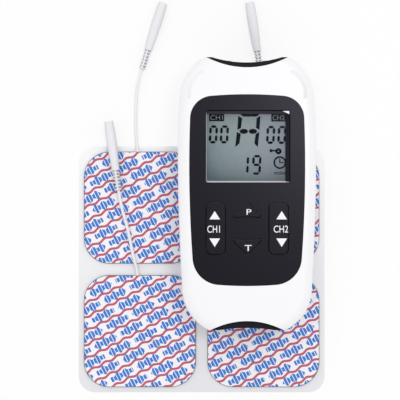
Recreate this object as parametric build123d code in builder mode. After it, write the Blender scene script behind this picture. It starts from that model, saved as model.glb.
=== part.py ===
from build123d import *
import math
import os

os.makedirs("parts", exist_ok=True)

# A two-channel TENS stimulator resting by its belt clip on a card of four electrodes.
# The origin is the bottom centre of the card and stimulator together, +Y towards the
# output sockets, +Z up out of the stimulator's face.

# ---------------------------------------------------------------- card and electrodes
card_side = 110.0
card_corner = 7.3
card_thickness = 0.3
pad_side = 50.0
pad_corner = 11.4
pad_gap = 5.2
gel_thickness = 0.7
carbon_thickness = 0.15
backing_thickness = 0.6
backing_setback = 0.25  # the carbon film shows as a thin line round the backing
strand_length = 14.0
strand_width = 2.4
strand_thickness = 0.2

# ---------------------------------------------------------------- leads
wire_diameter = 1.4
sleeve_length = 31.0
sleeve_mouth_radius = 1.95
sleeve_belly_radius = 2.25
sleeve_waist_radius = 1.75
sleeve_tail_radius = 1.55
relief_length = 9.0
relief_ribs = 6
relief_groove = 0.45
contact_bore_radius = 1.02
contact_wall = 0.3
contact_length = 15.0
contact_bore_depth = 14.0

# ---------------------------------------------------------------- stimulator casing
unit_length = 118.5
unit_width = 60.0
unit_thickness = 22.5
unit_overhang = 38.0  # beyond the card's upper edge
unit_shift = 19.6  # to the right of the card's centre line
widest_y = 22.0
shoulder_half_width = 28.9
shoulder_y = 43.0
hip_half_width = 28.1
hip_y = -42.0
top_scoop_half = 18.2
top_scoop_depth = 4.8
bottom_scoop_half = 16.3
bottom_scoop_depth = 4.3
edge_radius = 4.2
crease_ends = [(25.1, 41.8), (19.3, 52.6)]  # a shallow crease inside each upper corner
crease_bulge = 1.9
crease_width_radius = 1.7
crease_depth = 0.22
wall = 2.0
split_height = 11.0
face_wall = 1.5
panel_thickness = 0.8
panel_fit = 0.05

top_cap_depth = 2.3  # how far the cap's own arc dips below the horns
bottom_cap_depth = 1.0
top_cap_inset = 3.0  # that arc starts this far inside the horns; outside it the cap is level
bottom_cap_inset = 4.3
cap_trim = 0.5  # the cap stops this far inside the horns
cap_bottom_height = 3.0
cap_top_height = 17.0
cap_plug_inset = 2.2
cap_plug_border = 1.2
cap_plug_reach = 0.8

# ---------------------------------------------------------------- face panel and keys
panel_half_width = 24.95
panel_top_y = 42.8
panel_bottom_y = -39.8
panel_top_half = 24.2
panel_bottom_half = 22.7
panel_crown = 1.6
panel_top_corner = 9.8
panel_bottom_corner = 12.0
panel_widest_y = 10.0
display_width = 36.4
display_height = 31.3
display_x = 0.4
display_y = 20.4
display_corner = 0.8
display_draft = 0.35  # the opening narrows by this much a side, down to the window
window_border = 1.5
window_thickness = 0.8
lcd_thickness = 0.9
tray_wall = 1.0

key_rise = 0.6
key_gap = 0.25
key_edge = 0.4
key_travel = 0.5
key_flange = 0.8
key_flange_thickness = 0.7
key_flange_clearance = 0.2
rocker_width = 8.4
rocker_height = 22.4
rocker_x = 13.55
rocker_y = -15.0
rocker_corner = 2.4
rocker_swing = 3.0
rocker_axle_radius = 0.6
rocker_axle_clearance = 0.08
rocker_axle_roof = 0.15  # left between the axle's bore and the underside of the face
rocker_axle_length = 1.5
saddle_wall = 0.4
key_apex = 11.4  # from the rocker's middle line out to a triangular key's tip
key_base = 3.8
key_half_base = 7.7
key_base_dip = 1.2
key_corner = 0.8

# ---------------------------------------------------------------- inside
board_thickness = 1.2
board_half_width = 22.0
board_top_y = 50.0
board_bottom_y = -44.0
board_corner = 4.0
board_clearance = 0.5
switch_radius = 3.0
switch_height = 0.5
switch_spacing = 7.5
pillar_radius = 3.2
pillar_x = 21.5
pillar_y = 43.0
lower_pillar_x = 12.0
screw_radius = 1.0
screw_head_radius = 1.9
screw_head_height = 1.5
screw_clearance = 0.15
screw_fit = 0.02
screw_seat = 3.7
screw_slot = 0.5

cell_radius = 7.25
cell_length = 50.5
cell_tip_radius = 2.75
cell_tip_length = 1.0
cell_shoulder = 0.6
cell_gap = 0.3
bay_wall = 1.2
bay_top_y = 9.5
spring_wire = 0.5
spring_radius = 3.0
spring_length = 4.0
spring_turns = 3
contact_plate = 0.4
contact_plate_width = 10.0

jack_bore_radius = 1.78
jack_bore_depth = 13.0
jack_nose_radius = 3.3
jack_body_width = 9.0
jack_body_length = 12.0
jack_x = 10.0

# Components that hang under the board: middle, width, length and height.
transformer_spots = [(-9.0, 30.5), (9.0, 30.5)]
transformer_width = 14.0
transformer_length = 12.0
transformer_height = 11.0
chip_spot = (0, 17.5)
chip_side = 10.0
chip_height = 1.4
buzzer_spot = (-14.5, 17.0)
buzzer_radius = 5.0
buzzer_height = 5.5
buzzer_port_radius = 1.0
capacitor_spots = [(11.0, 17.0), (18.0, 17.0)]
capacitor_radius = 3.0
capacitor_height = 9.0

# ---------------------------------------------------------------- battery door and clip
door_thickness = 1.6
door_half_width = 17.0
door_top_y = 9.0
door_tongue = 1.2
door_tongue_thickness = 0.8
door_clearance = 0.3
grip_ribs = 5
grip_pitch = 2.0
grip_depth = 0.4
grip_y = -34.0

clip_width = 20.0
clip_top_y = 26.0
clip_tip_y = -24.0
clip_height = 7.0
clip_tongue = 2.0
clip_block_bottom_y = 11.0
clip_tip_gap = 0.9
clip_tip_length = 4.0
clip_clearance = 0.3
clip_rest_gap = 0.3
clip_corner = 3.0
rail_neck_half = 4.0
rail_head_half = 6.5
rail_neck_height = 1.2
rail_head_height = 1.2
rail_length = 11.5

# ---------------------------------------------------------------- worked out
card_y = -unit_overhang / 2
pad_step = (pad_side + pad_gap) / 2
gel_bottom = card_thickness
carbon_bottom = gel_bottom + gel_thickness
backing_bottom = carbon_bottom + carbon_thickness
pad_top = backing_bottom + backing_thickness
unit_x = unit_shift
unit_y = card_side / 2 + unit_overhang / 2 - unit_length / 2
unit_z = pad_top + clip_rest_gap + clip_height
unit = Plane(origin=(unit_x, unit_y, unit_z), x_dir=(1, 0, 0), z_dir=(0, 0, 1))
end_y = unit_length / 2
panel_floor = unit_thickness - panel_thickness
face_inside = panel_floor - face_wall
window_bottom = face_inside - window_thickness
lcd_bottom = window_bottom - lcd_thickness
board_top = lcd_bottom - 0.3
board_bottom = board_top - board_thickness
cell_bottom = door_thickness + cell_gap
cell_z = cell_bottom + cell_radius
bay_half_width = 2 * cell_radius + cell_gap + cell_gap
bay_length = cell_length + spring_length + 2 * contact_plate
bay_bottom_y = bay_top_y - bay_length
axle_z = face_inside - rocker_axle_roof - rocker_axle_clearance - rocker_axle_radius
jack_z = split_height
clip_block_thickness = clip_height - clip_clearance


def sag(x, half, depth):
    # How far an arc across the end, dipping by depth at the middle, lies below its ends.
    radius = (half**2 + depth**2) / (2 * depth)
    return depth - radius + math.sqrt(radius**2 - x**2)


def casing_outline(inset):
    with BuildSketch() as outline:
        with BuildLine():
            TangentArc((unit_width / 2, widest_y), (shoulder_half_width, shoulder_y), tangent=(0, 1))
            TangentArc((unit_width / 2, widest_y), (hip_half_width, hip_y), tangent=(0, -1))
            side_turn = 2 * math.atan2(unit_width / 2 - shoulder_half_width, shoulder_y - widest_y)
            TangentArc(
                (shoulder_half_width, shoulder_y),
                (top_scoop_half, end_y),
                tangent=(-math.sin(side_turn), math.cos(side_turn)),
            )
            hip_turn = 2 * math.atan2(unit_width / 2 - hip_half_width, widest_y - hip_y)
            TangentArc(
                (hip_half_width, hip_y),
                (bottom_scoop_half, -end_y),
                tangent=(-math.sin(hip_turn), -math.cos(hip_turn)),
            )
            mirror(about=Plane.YZ)
            ThreePointArc((-top_scoop_half, end_y), (0, end_y - top_scoop_depth), (top_scoop_half, end_y))
            ThreePointArc(
                (-bottom_scoop_half, -end_y),
                (0, bottom_scoop_depth - end_y),
                (bottom_scoop_half, -end_y),
            )
        make_face()
        if inset:
            offset(amount=-inset, kind=Kind.INTERSECTION)
    return outline.sketch


def side_edges(part, height):
    # The long edges down both sides at one height, leaving the scooped ends sharp.
    level = part.edges().filter_by_position(Axis.Z, unit_z + height, unit_z + height)
    return level.filter_by(lambda e: abs((e @ 0.5).X - unit_x) > top_scoop_half)


def panel_outline(grow):
    top_y = panel_top_y + grow
    bottom_y = panel_bottom_y - grow
    top_corner = (panel_top_half + grow, top_y - panel_crown)
    bottom_corner = (panel_bottom_half + grow, bottom_y + panel_crown)
    with BuildSketch() as outline:
        with BuildLine():
            ThreePointArc(top_corner, (panel_half_width + grow, panel_widest_y), bottom_corner)
            mirror(about=Plane.YZ)
            ThreePointArc((-top_corner[0], top_corner[1]), (0, top_y), top_corner)
            ThreePointArc((-bottom_corner[0], bottom_corner[1]), (0, bottom_y), bottom_corner)
        make_face()
        fillet(outline.vertices().group_by(Axis.Y)[-1], radius=panel_top_corner + grow)
        fillet(outline.vertices().group_by(Axis.Y)[0], radius=panel_bottom_corner + grow)
    return outline.sketch


def triangle_key(grow):
    # A key shaped as a triangle with a dished base, its tip towards +Y.
    with BuildSketch() as key:
        with BuildLine():
            Polyline((-key_half_base, key_base), (0, key_apex), (key_half_base, key_base))
            ThreePointArc(
                (-key_half_base, key_base),
                (0, key_base + key_base_dip),
                (key_half_base, key_base),
            )
        make_face()
        fillet(key.vertices(), radius=key_corner)
        if grow:
            offset(amount=grow)
    return key.sketch


rocker_spots = [(-rocker_x, rocker_y), (rocker_x, rocker_y)]
key_plane_p = Plane(origin=(unit_x, unit_y + rocker_y, unit_z), x_dir=(1, 0, 0), z_dir=(0, 0, 1))
key_plane_t = Plane(origin=(unit_x, unit_y + rocker_y, unit_z), x_dir=(-1, 0, 0), z_dir=(0, 0, 1))


def face_openings(grow):
    # The keys' openings through the face, in the stimulator's own frame.
    with BuildSketch() as openings:
        with Locations(*rocker_spots):
            RectangleRounded(
                rocker_width + 2 * grow, rocker_height + 2 * grow, rocker_corner + grow
            )
        with Locations((0, rocker_y)):
            add(triangle_key(grow))
        with Locations(Location((0, rocker_y), 180)):
            add(triangle_key(grow))
    return openings.sketch


# The display's opening, a tapered plug as a tool for the face panel and the front shell.
with BuildPart() as display_well:
    with BuildSketch(unit.offset(face_inside)):
        with Locations((display_x, display_y)):
            RectangleRounded(
                display_width - 2 * display_draft,
                display_height - 2 * display_draft,
                display_corner,
            )
    with BuildSketch(unit.offset(unit_thickness)):
        with Locations((display_x, display_y)):
            RectangleRounded(display_width, display_height, display_corner)
    loft()

# ================================================================ electrode card
with BuildPart() as release_liner:
    with BuildSketch():
        with Locations((0, card_y)):
            RectangleRounded(card_side, card_side, card_corner)
    extrude(amount=card_thickness)
release_liner.part.label = "release_liner"
export_step(release_liner.part, "parts/release_liner.step")

pad_spots = {
    1: (-pad_step, card_y + pad_step),
    2: (pad_step, card_y + pad_step),
    3: (-pad_step, card_y - pad_step),
    4: (pad_step, card_y - pad_step),
}
wire_offset = -1.0  # the wire leaves a little to the left of the pad's middle


def strand_spot(number):
    x, y = pad_spots[number]
    return (x + wire_offset, y + pad_side / 2 - strand_length / 2)


for number, spot in pad_spots.items():
    with BuildPart() as gel:
        with BuildSketch(Plane.XY.offset(gel_bottom)):
            with Locations(spot):
                RectangleRounded(pad_side, pad_side, pad_corner)
        extrude(amount=gel_thickness)
    gel.part.label = f"electrode_{number}_gel"
    export_step(gel.part, f"parts/electrode_{number}_gel.step")

    with BuildPart() as carbon:
        with BuildSketch(Plane.XY.offset(carbon_bottom)):
            with Locations(spot):
                RectangleRounded(pad_side, pad_side, pad_corner)
        extrude(amount=carbon_thickness)
    carbon.part.label = f"electrode_{number}_carbon"
    export_step(carbon.part, f"parts/electrode_{number}_carbon.step")

    backing_side = pad_side - 2 * backing_setback
    with BuildPart() as backing:
        with BuildSketch(Plane.XY.offset(backing_bottom)):
            with Locations(spot):
                RectangleRounded(backing_side, backing_side, pad_corner - backing_setback)
        extrude(amount=backing_thickness)
        with BuildSketch(Plane.XY.offset(backing_bottom)):
            with Locations(strand_spot(number)):
                Rectangle(strand_width, strand_length)
        extrude(amount=strand_thickness, mode=Mode.SUBTRACT)
    backing.part.label = f"electrode_{number}_backing"
    export_step(backing.part, f"parts/electrode_{number}_backing.step")

with BuildPart() as lead_strands:
    with BuildSketch(Plane.XY.offset(backing_bottom)):
        with Locations(*[strand_spot(number) for number in pad_spots]):
            Rectangle(strand_width, strand_length)
    extrude(amount=strand_thickness)
lead_strands.part.label = "lead_strands"
export_step(lead_strands.part, "parts/lead_strands.step")

# ================================================================ leads
# Each wire leaves the top edge of its electrode, lies on the card and the floor and ends
# in a socket sleeve. The points run from the pad to the sleeve; the last one is the socket.
wire_radius = wire_diameter / 2
exit_z = carbon_bottom + 0.1
on_card = card_thickness + wire_radius + 0.03
on_floor = wire_radius + 0.05
sleeve_on_floor = sleeve_belly_radius + 0.05
on_pad = pad_top + wire_radius + 0.05
sleeve_on_pad = pad_top + sleeve_belly_radius + 0.05


def pad_exit(number):
    x, y = pad_spots[number]
    return (x + wire_offset, y + pad_side / 2, exit_z)


# Points between the pad and the run that leads straight into the sleeve.
lead_middles = {
    1: [(-29.0, 41.0, 0.92), (-29.3, 48.8, on_floor), (-29.3, 56.6, 1.1)],
    2: [(26.8, 41.0, 0.92), (26.7, 48.6, on_floor), (26.8, 55.9, 1.1)],
    3: [
        (-28.85, -19.6, 1.2),
        (-29.7, -16.0, 2.85),
        (-30.9, -11.2, 3.05),
        (-32.1, -5.0, on_pad),
        (-33.6, 1.8, 2.9),
    ],
    4: [
        (26.75, -19.6, 1.2),
        (27.9, -16.0, 2.85),
        (30.4, -11.8, 3.0),
        (34.0, -7.0, on_pad),
        (36.9, -1.2, 2.9),
    ],
}
sleeve_tails = {
    1: (-26.6, 70.4, sleeve_on_floor),
    2: (26.2, 69.6, sleeve_on_floor),
    3: (-37.0, 16.4, sleeve_on_pad),
    4: (38.6, 11.6, sleeve_on_pad),
}
sleeve_headings = {1: (9.4, 29.6), 2: (-4.75, 30.35), 3: (-4.4, 30.45), 4: (1.5, 30.8)}
approach_length = 6.8
lead_routes = {}
for number, middle in lead_middles.items():
    tail = Vector(*sleeve_tails[number])
    approach = tail - Vector(*sleeve_headings[number]).normalized() * approach_length
    lead_routes[number] = [Vector(*pad_exit(number)), *[Vector(*p) for p in middle], approach, tail]

for number, points in lead_routes.items():
    radii = []
    for before, here, after in zip(points, points[1:], points[2:]):
        turn = (here - before).get_angle(after - here)
        shorter = min((here - before).length, (after - here).length)
        radii.append(0.45 * shorter / math.tan(math.radians(turn / 2)))
    with BuildPart() as lead:
        with BuildLine() as path:
            FilletPolyline(*points, radius=radii)
        start = path.line @ 0
        with BuildSketch(Plane(origin=start, z_dir=points[1] - points[0])):
            Circle(wire_radius)
        sweep()
    lead_length = path.wires()[0].length
    ideal = math.pi * wire_radius**2 * lead_length
    print(f"lead_{number}: length {lead_length:.1f}, volume ratio {lead.part.volume / ideal:.4f}")
    print("  radii", [round(r, 1) for r in radii])
    lead.part.label = f"lead_{number}"
    export_step(lead.part, f"parts/lead_{number}.step")

    # The sleeve lies straight on from the wire's end: local x along it, from tail to mouth.
    heading = Vector(*sleeve_headings[number])
    along = Plane(origin=points[-1], x_dir=heading, z_dir=(0, 0, 1))
    belly_x = sleeve_length * 0.75
    with BuildPart() as sleeve:
        with BuildSketch(along):
            with BuildLine():
                Polyline((0, 0), (0, sleeve_tail_radius), (relief_length, sleeve_waist_radius))
                ThreePointArc(
                    (relief_length, sleeve_waist_radius),
                    ((relief_length + belly_x) / 2, (sleeve_waist_radius + sleeve_belly_radius) / 2 + 0.12),
                    (belly_x, sleeve_belly_radius),
                )
                ThreePointArc(
                    (belly_x, sleeve_belly_radius),
                    ((belly_x + sleeve_length) / 2, (sleeve_belly_radius + sleeve_mouth_radius) / 2 + 0.08),
                    (sleeve_length, sleeve_mouth_radius),
                )
                Polyline((sleeve_length, sleeve_mouth_radius), (sleeve_length, 0), (0, 0))
            make_face()
            rib_pitch = relief_length / relief_ribs
            for rib in range(relief_ribs):
                with Locations(((rib + 0.75) * rib_pitch, sleeve_waist_radius)):
                    Rectangle(rib_pitch / 2, 2 * relief_groove, mode=Mode.SUBTRACT)
        revolve(axis=Axis(along.origin, along.x_dir))
        with BuildSketch(Plane(origin=along.from_local_coords((sleeve_length, 0, 0)), z_dir=-along.x_dir)):
            Circle(contact_bore_radius + contact_wall)
        extrude(amount=contact_length, mode=Mode.SUBTRACT)
    sleeve.part.label = f"lead_{number}_sleeve"
    export_step(sleeve.part, f"parts/lead_{number}_sleeve.step")

    mouth = Plane(origin=along.from_local_coords((sleeve_length, 0, 0)), z_dir=-along.x_dir)
    with BuildPart() as contact:
        with BuildSketch(mouth):
            Circle(contact_bore_radius + contact_wall)
        extrude(amount=contact_length)
        with BuildSketch(mouth):
            Circle(contact_bore_radius)
        extrude(amount=contact_bore_depth, mode=Mode.SUBTRACT)
    contact.part.label = f"lead_{number}_contact"
    export_step(contact.part, f"parts/lead_{number}_contact.step")
    print("  mouth", tuple(round(v, 3) for v in mouth.origin), "axis", tuple(-mouth.z_dir))

# ================================================================ casing
top_end = Plane(origin=(unit_x, unit_y + end_y, unit_z), x_dir=(1, 0, 0), z_dir=(0, 0, 1))
bottom_end = Plane(origin=(unit_x, unit_y - end_y, unit_z), x_dir=(-1, 0, 0), z_dir=(0, 0, 1))


def cap_crescent(half, scoop, depth, arc_half):
    # Seen from the face: between the casing's scoop and the cap's own shallower arc.
    with BuildSketch() as crescent:
        with BuildLine():
            Polyline((-half, 0), (-arc_half, 0))
            ThreePointArc((-arc_half, 0), (0, -depth), (arc_half, 0))
            Polyline((arc_half, 0), (half, 0))
            ThreePointArc((-half, 0), (0, -scoop), (half, 0))
        make_face()
        Rectangle(2 * (half - cap_trim), 4 * scoop, mode=Mode.INTERSECT)
    return crescent.sketch


def cap_plug(half, scoop, depth, arc_half):
    # The tongue that goes in through the casing's end wall, out to the cap's own arc.
    plug_half = half - cap_plug_inset
    reach = -scoop - wall - cap_plug_reach
    with BuildSketch() as plug:
        with BuildLine():
            ThreePointArc((-arc_half, 0), (0, -depth), (arc_half, 0))
            Polyline((arc_half, 0), (plug_half, 0), (plug_half, reach), (-plug_half, reach))
            Polyline((-plug_half, reach), (-plug_half, 0), (-arc_half, 0))
        make_face()
    return plug.sketch


ends = {
    "top": (
        top_end,
        top_scoop_half,
        top_scoop_depth,
        top_cap_depth,
        top_scoop_half - top_cap_inset,
    ),
    "bottom": (
        bottom_end,
        bottom_scoop_half,
        bottom_scoop_depth,
        bottom_cap_depth,
        bottom_scoop_half - bottom_cap_inset,
    ),
}
plug_bottom = cap_bottom_height + cap_plug_border
plug_top = cap_top_height - cap_plug_border


def end_windows():
    # The two windows that the end caps plug, as one tool in the casing's frame.
    with BuildPart() as windows:
        for plane, half, scoop, _, _ in ends.values():
            with BuildSketch(plane.offset(plug_bottom)):
                with Locations((0, -scoop / 2)):
                    Rectangle(2 * (half - cap_plug_inset), 3 * scoop + 2 * wall)
            extrude(amount=plug_top - plug_bottom)
    return windows.part


with BuildPart() as cavity:
    with BuildSketch(unit.offset(wall)):
        add(casing_outline(wall))
    extrude(amount=face_inside - wall)
    chamfer(side_edges(cavity, wall), length=edge_radius - wall)
    chamfer(side_edges(cavity, face_inside), length=edge_radius - wall)

lower_pillar_y = (
    -end_y + bottom_scoop_depth + wall + cap_plug_reach + cell_gap + pillar_radius
)
pillar_spots = [
    (-pillar_x, pillar_y),
    (pillar_x, pillar_y),
    (-lower_pillar_x, lower_pillar_y),
    (lower_pillar_x, lower_pillar_y),
]

# A rod along each upper corner, just touching the face, as a tool for the creases.
with BuildPart() as creases:
    lower, upper = [Vector(*end) for end in crease_ends]
    chord = upper - lower
    bulge = (lower + upper) / 2 + Vector(chord.Y, -chord.X).normalized() * crease_bulge
    rod_plane = unit.offset(unit_thickness + crease_width_radius - crease_depth)
    for side in (-1, 1):
        spots = [rod_plane.from_local_coords((side * p.X, p.Y, 0)) for p in (lower, bulge, upper)]
        with BuildLine() as crease:
            ThreePointArc(*spots)
        with BuildSketch(Plane(origin=crease.line @ 0, z_dir=crease.line % 0)):
            Circle(crease_width_radius)
        sweep(path=crease.line)

with BuildPart() as front_shell:
    with BuildSketch(unit.offset(split_height)):
        add(casing_outline(0))
    extrude(amount=unit_thickness - split_height)
    fillet(side_edges(front_shell, unit_thickness), radius=edge_radius)
    add(cavity.part, mode=Mode.SUBTRACT)
    with BuildSketch(unit.offset(panel_floor)):
        add(panel_outline(panel_fit))
    extrude(amount=panel_thickness, mode=Mode.SUBTRACT)
    with BuildSketch(unit.offset(split_height)):
        with Locations(*pillar_spots):
            Circle(pillar_radius)
    extrude(amount=face_inside - split_height)
    # Room for the battery bay's walls, which stand up from the rear shell.
    with BuildSketch(unit.offset(split_height)):
        with Locations((0, (bay_top_y + bay_bottom_y) / 2)):
            Rectangle(
                2 * (bay_half_width + bay_wall + panel_fit),
                bay_length + 2 * (bay_wall + panel_fit),
            )
    extrude(amount=board_bottom - split_height, mode=Mode.SUBTRACT)
    add(end_windows(), mode=Mode.SUBTRACT)
    # Saddles under the face carry the rockers' axle stubs.
    saddle_bottom = axle_z - rocker_axle_radius - saddle_wall
    saddle_x = rocker_width / 2 + key_gap + rocker_axle_length / 2
    saddle_spots = [(x + side * saddle_x, rocker_y) for x, _ in rocker_spots for side in (-1, 1)]
    with BuildSketch(unit.offset(saddle_bottom)):
        with Locations(*saddle_spots):
            Rectangle(rocker_axle_length, 2 * (rocker_axle_radius + saddle_wall))
    extrude(amount=face_inside - saddle_bottom)
    axle_plane = Plane(
        origin=(unit_x, unit_y + rocker_y, unit_z + axle_z), x_dir=(0, 1, 0), z_dir=(1, 0, 0)
    )
    with BuildSketch(axle_plane.offset(-unit_width / 3)):
        Circle(rocker_axle_radius + rocker_axle_clearance)
    extrude(amount=2 * unit_width / 3, mode=Mode.SUBTRACT)
    with BuildSketch(unit.offset(face_inside)):
        add(face_openings(key_gap))
    extrude(amount=unit_thickness - face_inside, mode=Mode.SUBTRACT)
    add(display_well.part, mode=Mode.SUBTRACT)
    with BuildSketch(unit.offset(split_height)):
        with Locations(*pillar_spots):
            Circle(screw_radius + screw_fit)
    extrude(amount=board_bottom - split_height, mode=Mode.SUBTRACT)
    add(creases.part, mode=Mode.SUBTRACT)
front_shell.part.label = "front_shell"
export_step(front_shell.part, "parts/front_shell.step")

door_slot_half = door_half_width + door_clearance
tongue_slot_half = door_half_width + door_tongue + door_clearance
lip_height = door_thickness - door_tongue_thickness - door_clearance
door_opening_top = door_thickness + door_clearance
end_reach = end_y + door_top_y + door_clearance

with BuildPart() as rear_shell:
    with BuildSketch(unit):
        add(casing_outline(0))
    extrude(amount=split_height)
    fillet(side_edges(rear_shell, 0), radius=edge_radius)
    add(cavity.part, mode=Mode.SUBTRACT)
    # Pillars, and the open-ended bay round the cells.
    with BuildSketch(unit.offset(wall / 2)):
        with Locations(*pillar_spots):
            Circle(pillar_radius)
    extrude(amount=split_height - wall / 2)
    with BuildSketch(unit.offset(wall / 2)):
        with Locations((0, (bay_top_y + bay_bottom_y) / 2)):
            Rectangle(2 * (bay_half_width + bay_wall), bay_length + 2 * bay_wall)
            Rectangle(2 * bay_half_width, bay_length, mode=Mode.SUBTRACT)
    extrude(amount=board_bottom - wall / 2)
    deck_bottom = door_opening_top
    deck_y = (bay_bottom_y - end_y + bottom_scoop_depth) / 2
    with BuildSketch(unit.offset(deck_bottom)):
        with Locations((0, deck_y)):
            Rectangle(
                2 * (bay_half_width + bay_wall),
                bay_bottom_y + end_y - bottom_scoop_depth,
            )
    extrude(amount=wall)
    # The door's opening runs out through the lower end, with a groove for its tongues.
    with BuildSketch(unit):
        with Locations((0, door_top_y + door_clearance - end_reach / 2)):
            Rectangle(2 * door_slot_half, end_reach)
    extrude(amount=door_opening_top, mode=Mode.SUBTRACT)
    with BuildSketch(unit.offset(lip_height)):
        with Locations((0, door_top_y + door_clearance - end_reach / 2)):
            Rectangle(2 * tongue_slot_half, end_reach)
    extrude(amount=door_opening_top - lip_height, mode=Mode.SUBTRACT)
    with BuildSketch(unit):
        with Locations((0, (bay_top_y + bay_bottom_y) / 2)):
            Rectangle(2 * bay_half_width, bay_length)
    extrude(amount=board_bottom, mode=Mode.SUBTRACT)
    add(end_windows(), mode=Mode.SUBTRACT)
    # Screw holes with their head recesses.
    with BuildSketch(unit):
        with Locations(*pillar_spots):
            Circle(screw_head_radius + screw_clearance)
    extrude(amount=screw_seat, mode=Mode.SUBTRACT)
    with BuildSketch(unit.offset(screw_seat)):
        with Locations(*pillar_spots):
            Circle(screw_radius + screw_clearance)
    extrude(amount=split_height - screw_seat, mode=Mode.SUBTRACT)
    # T-rail for the belt clip.
    rail_y = clip_block_bottom_y + rail_length / 2 + clip_clearance
    with BuildSketch(unit):
        with Locations((0, rail_y)):
            Rectangle(2 * rail_neck_half, rail_length)
    extrude(amount=-rail_neck_height)
    with BuildSketch(unit.offset(-rail_neck_height)):
        with Locations((0, rail_y)):
            Rectangle(2 * rail_head_half, rail_length)
    extrude(amount=-rail_head_height)
rear_shell.part.label = "rear_shell"
export_step(rear_shell.part, "parts/rear_shell.step")

for end_name, (plane, half, scoop, depth, arc_half) in ends.items():
    with BuildPart() as cap:
        with BuildSketch(plane.offset(cap_bottom_height)):
            add(cap_crescent(half, scoop, depth, arc_half))
        extrude(amount=cap_top_height - cap_bottom_height)
        with BuildSketch(plane.offset(plug_bottom)):
            add(cap_plug(half, scoop, depth, arc_half))
        extrude(amount=plug_top - plug_bottom)
        if end_name == "top":
            for side in (-1, 1):
                nose = Plane(
                    origin=(unit_x + side * jack_x, unit_y + end_y, unit_z + jack_z),
                    z_dir=(0, -1, 0),
                )
                with BuildSketch(nose):
                    Circle(jack_nose_radius)
                extrude(amount=2 * (scoop + wall), mode=Mode.SUBTRACT)
    cap.part.label = f"{end_name}_end_cap"
    export_step(cap.part, f"parts/{end_name}_end_cap.step")

# ================================================================ sockets for the leads
jack_mouth = sag(jack_x, top_scoop_half - top_cap_inset, top_cap_depth)
cap_inside = top_scoop_depth + wall + cap_plug_reach
for number, side in ((1, -1), (2, 1)):
    mouth = Plane(
        origin=(unit_x + side * jack_x, unit_y + end_y - jack_mouth, unit_z + jack_z),
        x_dir=(1, 0, 0),
        z_dir=(0, -1, 0),
    )
    nose_length = cap_inside - jack_mouth
    with BuildPart() as jack:
        with BuildSketch(mouth):
            Circle(jack_nose_radius - panel_fit)
        extrude(amount=nose_length)
        with BuildSketch(mouth.offset(nose_length)):
            rise = board_bottom - jack_z
            with Locations((0, -(rise - jack_body_width / 2) / 2)):
                Rectangle(jack_body_width, rise + jack_body_width / 2)
        extrude(amount=jack_body_length)
        with BuildSketch(mouth):
            Circle(jack_bore_radius)
        extrude(amount=jack_bore_depth, mode=Mode.SUBTRACT)
    jack.part.label = f"output_jack_ch{number}"
    export_step(jack.part, f"parts/output_jack_ch{number}.step")
    print(f"jack {number} mouth", tuple(round(v, 3) for v in mouth.origin))

# ================================================================ face panel and display
with BuildPart() as face_panel:
    with BuildSketch(unit.offset(panel_floor)):
        add(panel_outline(0))
        add(face_openings(key_gap), mode=Mode.SUBTRACT)
    extrude(amount=panel_thickness)
    add(display_well.part, mode=Mode.SUBTRACT)
face_panel.part.label = "face_panel"
export_step(face_panel.part, "parts/face_panel.step")

window_width = display_width + 2 * window_border
window_height = display_height + 2 * window_border
with BuildPart() as display_window:
    with BuildSketch(unit.offset(window_bottom)):
        with Locations((display_x, display_y)):
            Rectangle(window_width, window_height)
    extrude(amount=window_thickness)
display_window.part.label = "display_window"
export_step(display_window.part, "parts/display_window.step")

with BuildPart() as lcd_glass:
    with BuildSketch(unit.offset(lcd_bottom)):
        with Locations((display_x, display_y)):
            Rectangle(window_width, window_height)
    extrude(amount=lcd_thickness)
lcd_glass.part.label = "lcd_glass"
export_step(lcd_glass.part, "parts/lcd_glass.step")

with BuildPart() as lcd_tray:
    with BuildSketch(unit.offset(board_top)):
        with Locations((display_x, display_y)):
            Rectangle(window_width + 2 * tray_wall, window_height + 2 * tray_wall)
    extrude(amount=window_bottom - board_top)
    with BuildSketch(unit.offset(lcd_bottom)):
        with Locations((display_x, display_y)):
            Rectangle(window_width, window_height)
    extrude(amount=lcd_thickness, mode=Mode.SUBTRACT)
lcd_tray.part.label = "lcd_tray"
export_step(lcd_tray.part, "parts/lcd_tray.step")

# ================================================================ keys
rocker_bottom = axle_z
for number, (x, y) in enumerate(rocker_spots, start=1):
    with BuildPart() as rocker:
        with BuildSketch(unit.offset(rocker_bottom)):
            with Locations((x, y)):
                RectangleRounded(rocker_width, rocker_height, rocker_corner)
        extrude(amount=unit_thickness + key_rise - rocker_bottom)
        fillet(rocker.faces().sort_by(Axis.Z)[-1].edges(), radius=key_edge)
        axle_half = rocker_width / 2 + key_gap + rocker_axle_length
        axle = Plane(
            origin=(unit_x + x, unit_y + y, unit_z + axle_z), x_dir=(0, 1, 0), z_dir=(1, 0, 0)
        )
        with BuildSketch(axle.offset(-axle_half)):
            Circle(rocker_axle_radius)
        extrude(amount=2 * axle_half)
    rocker.part.label = f"rocker_ch{number}"
    export_step(rocker.part, f"parts/rocker_ch{number}.step")

flange_top = face_inside - key_flange_clearance
flange_bottom = flange_top - key_flange_thickness
for name, plane in (("key_p", key_plane_p), ("key_t", key_plane_t)):
    with BuildPart() as key:
        with BuildSketch(plane.offset(flange_top)):
            add(triangle_key(0))
        extrude(amount=unit_thickness + key_rise - flange_top)
        fillet(key.faces().sort_by(Axis.Z)[-1].edges(), radius=key_edge)
        with BuildSketch(plane.offset(flange_bottom)):
            add(triangle_key(key_flange))
        extrude(amount=key_flange_thickness)
    key.part.label = name
    export_step(key.part, f"parts/{name}.step")

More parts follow.
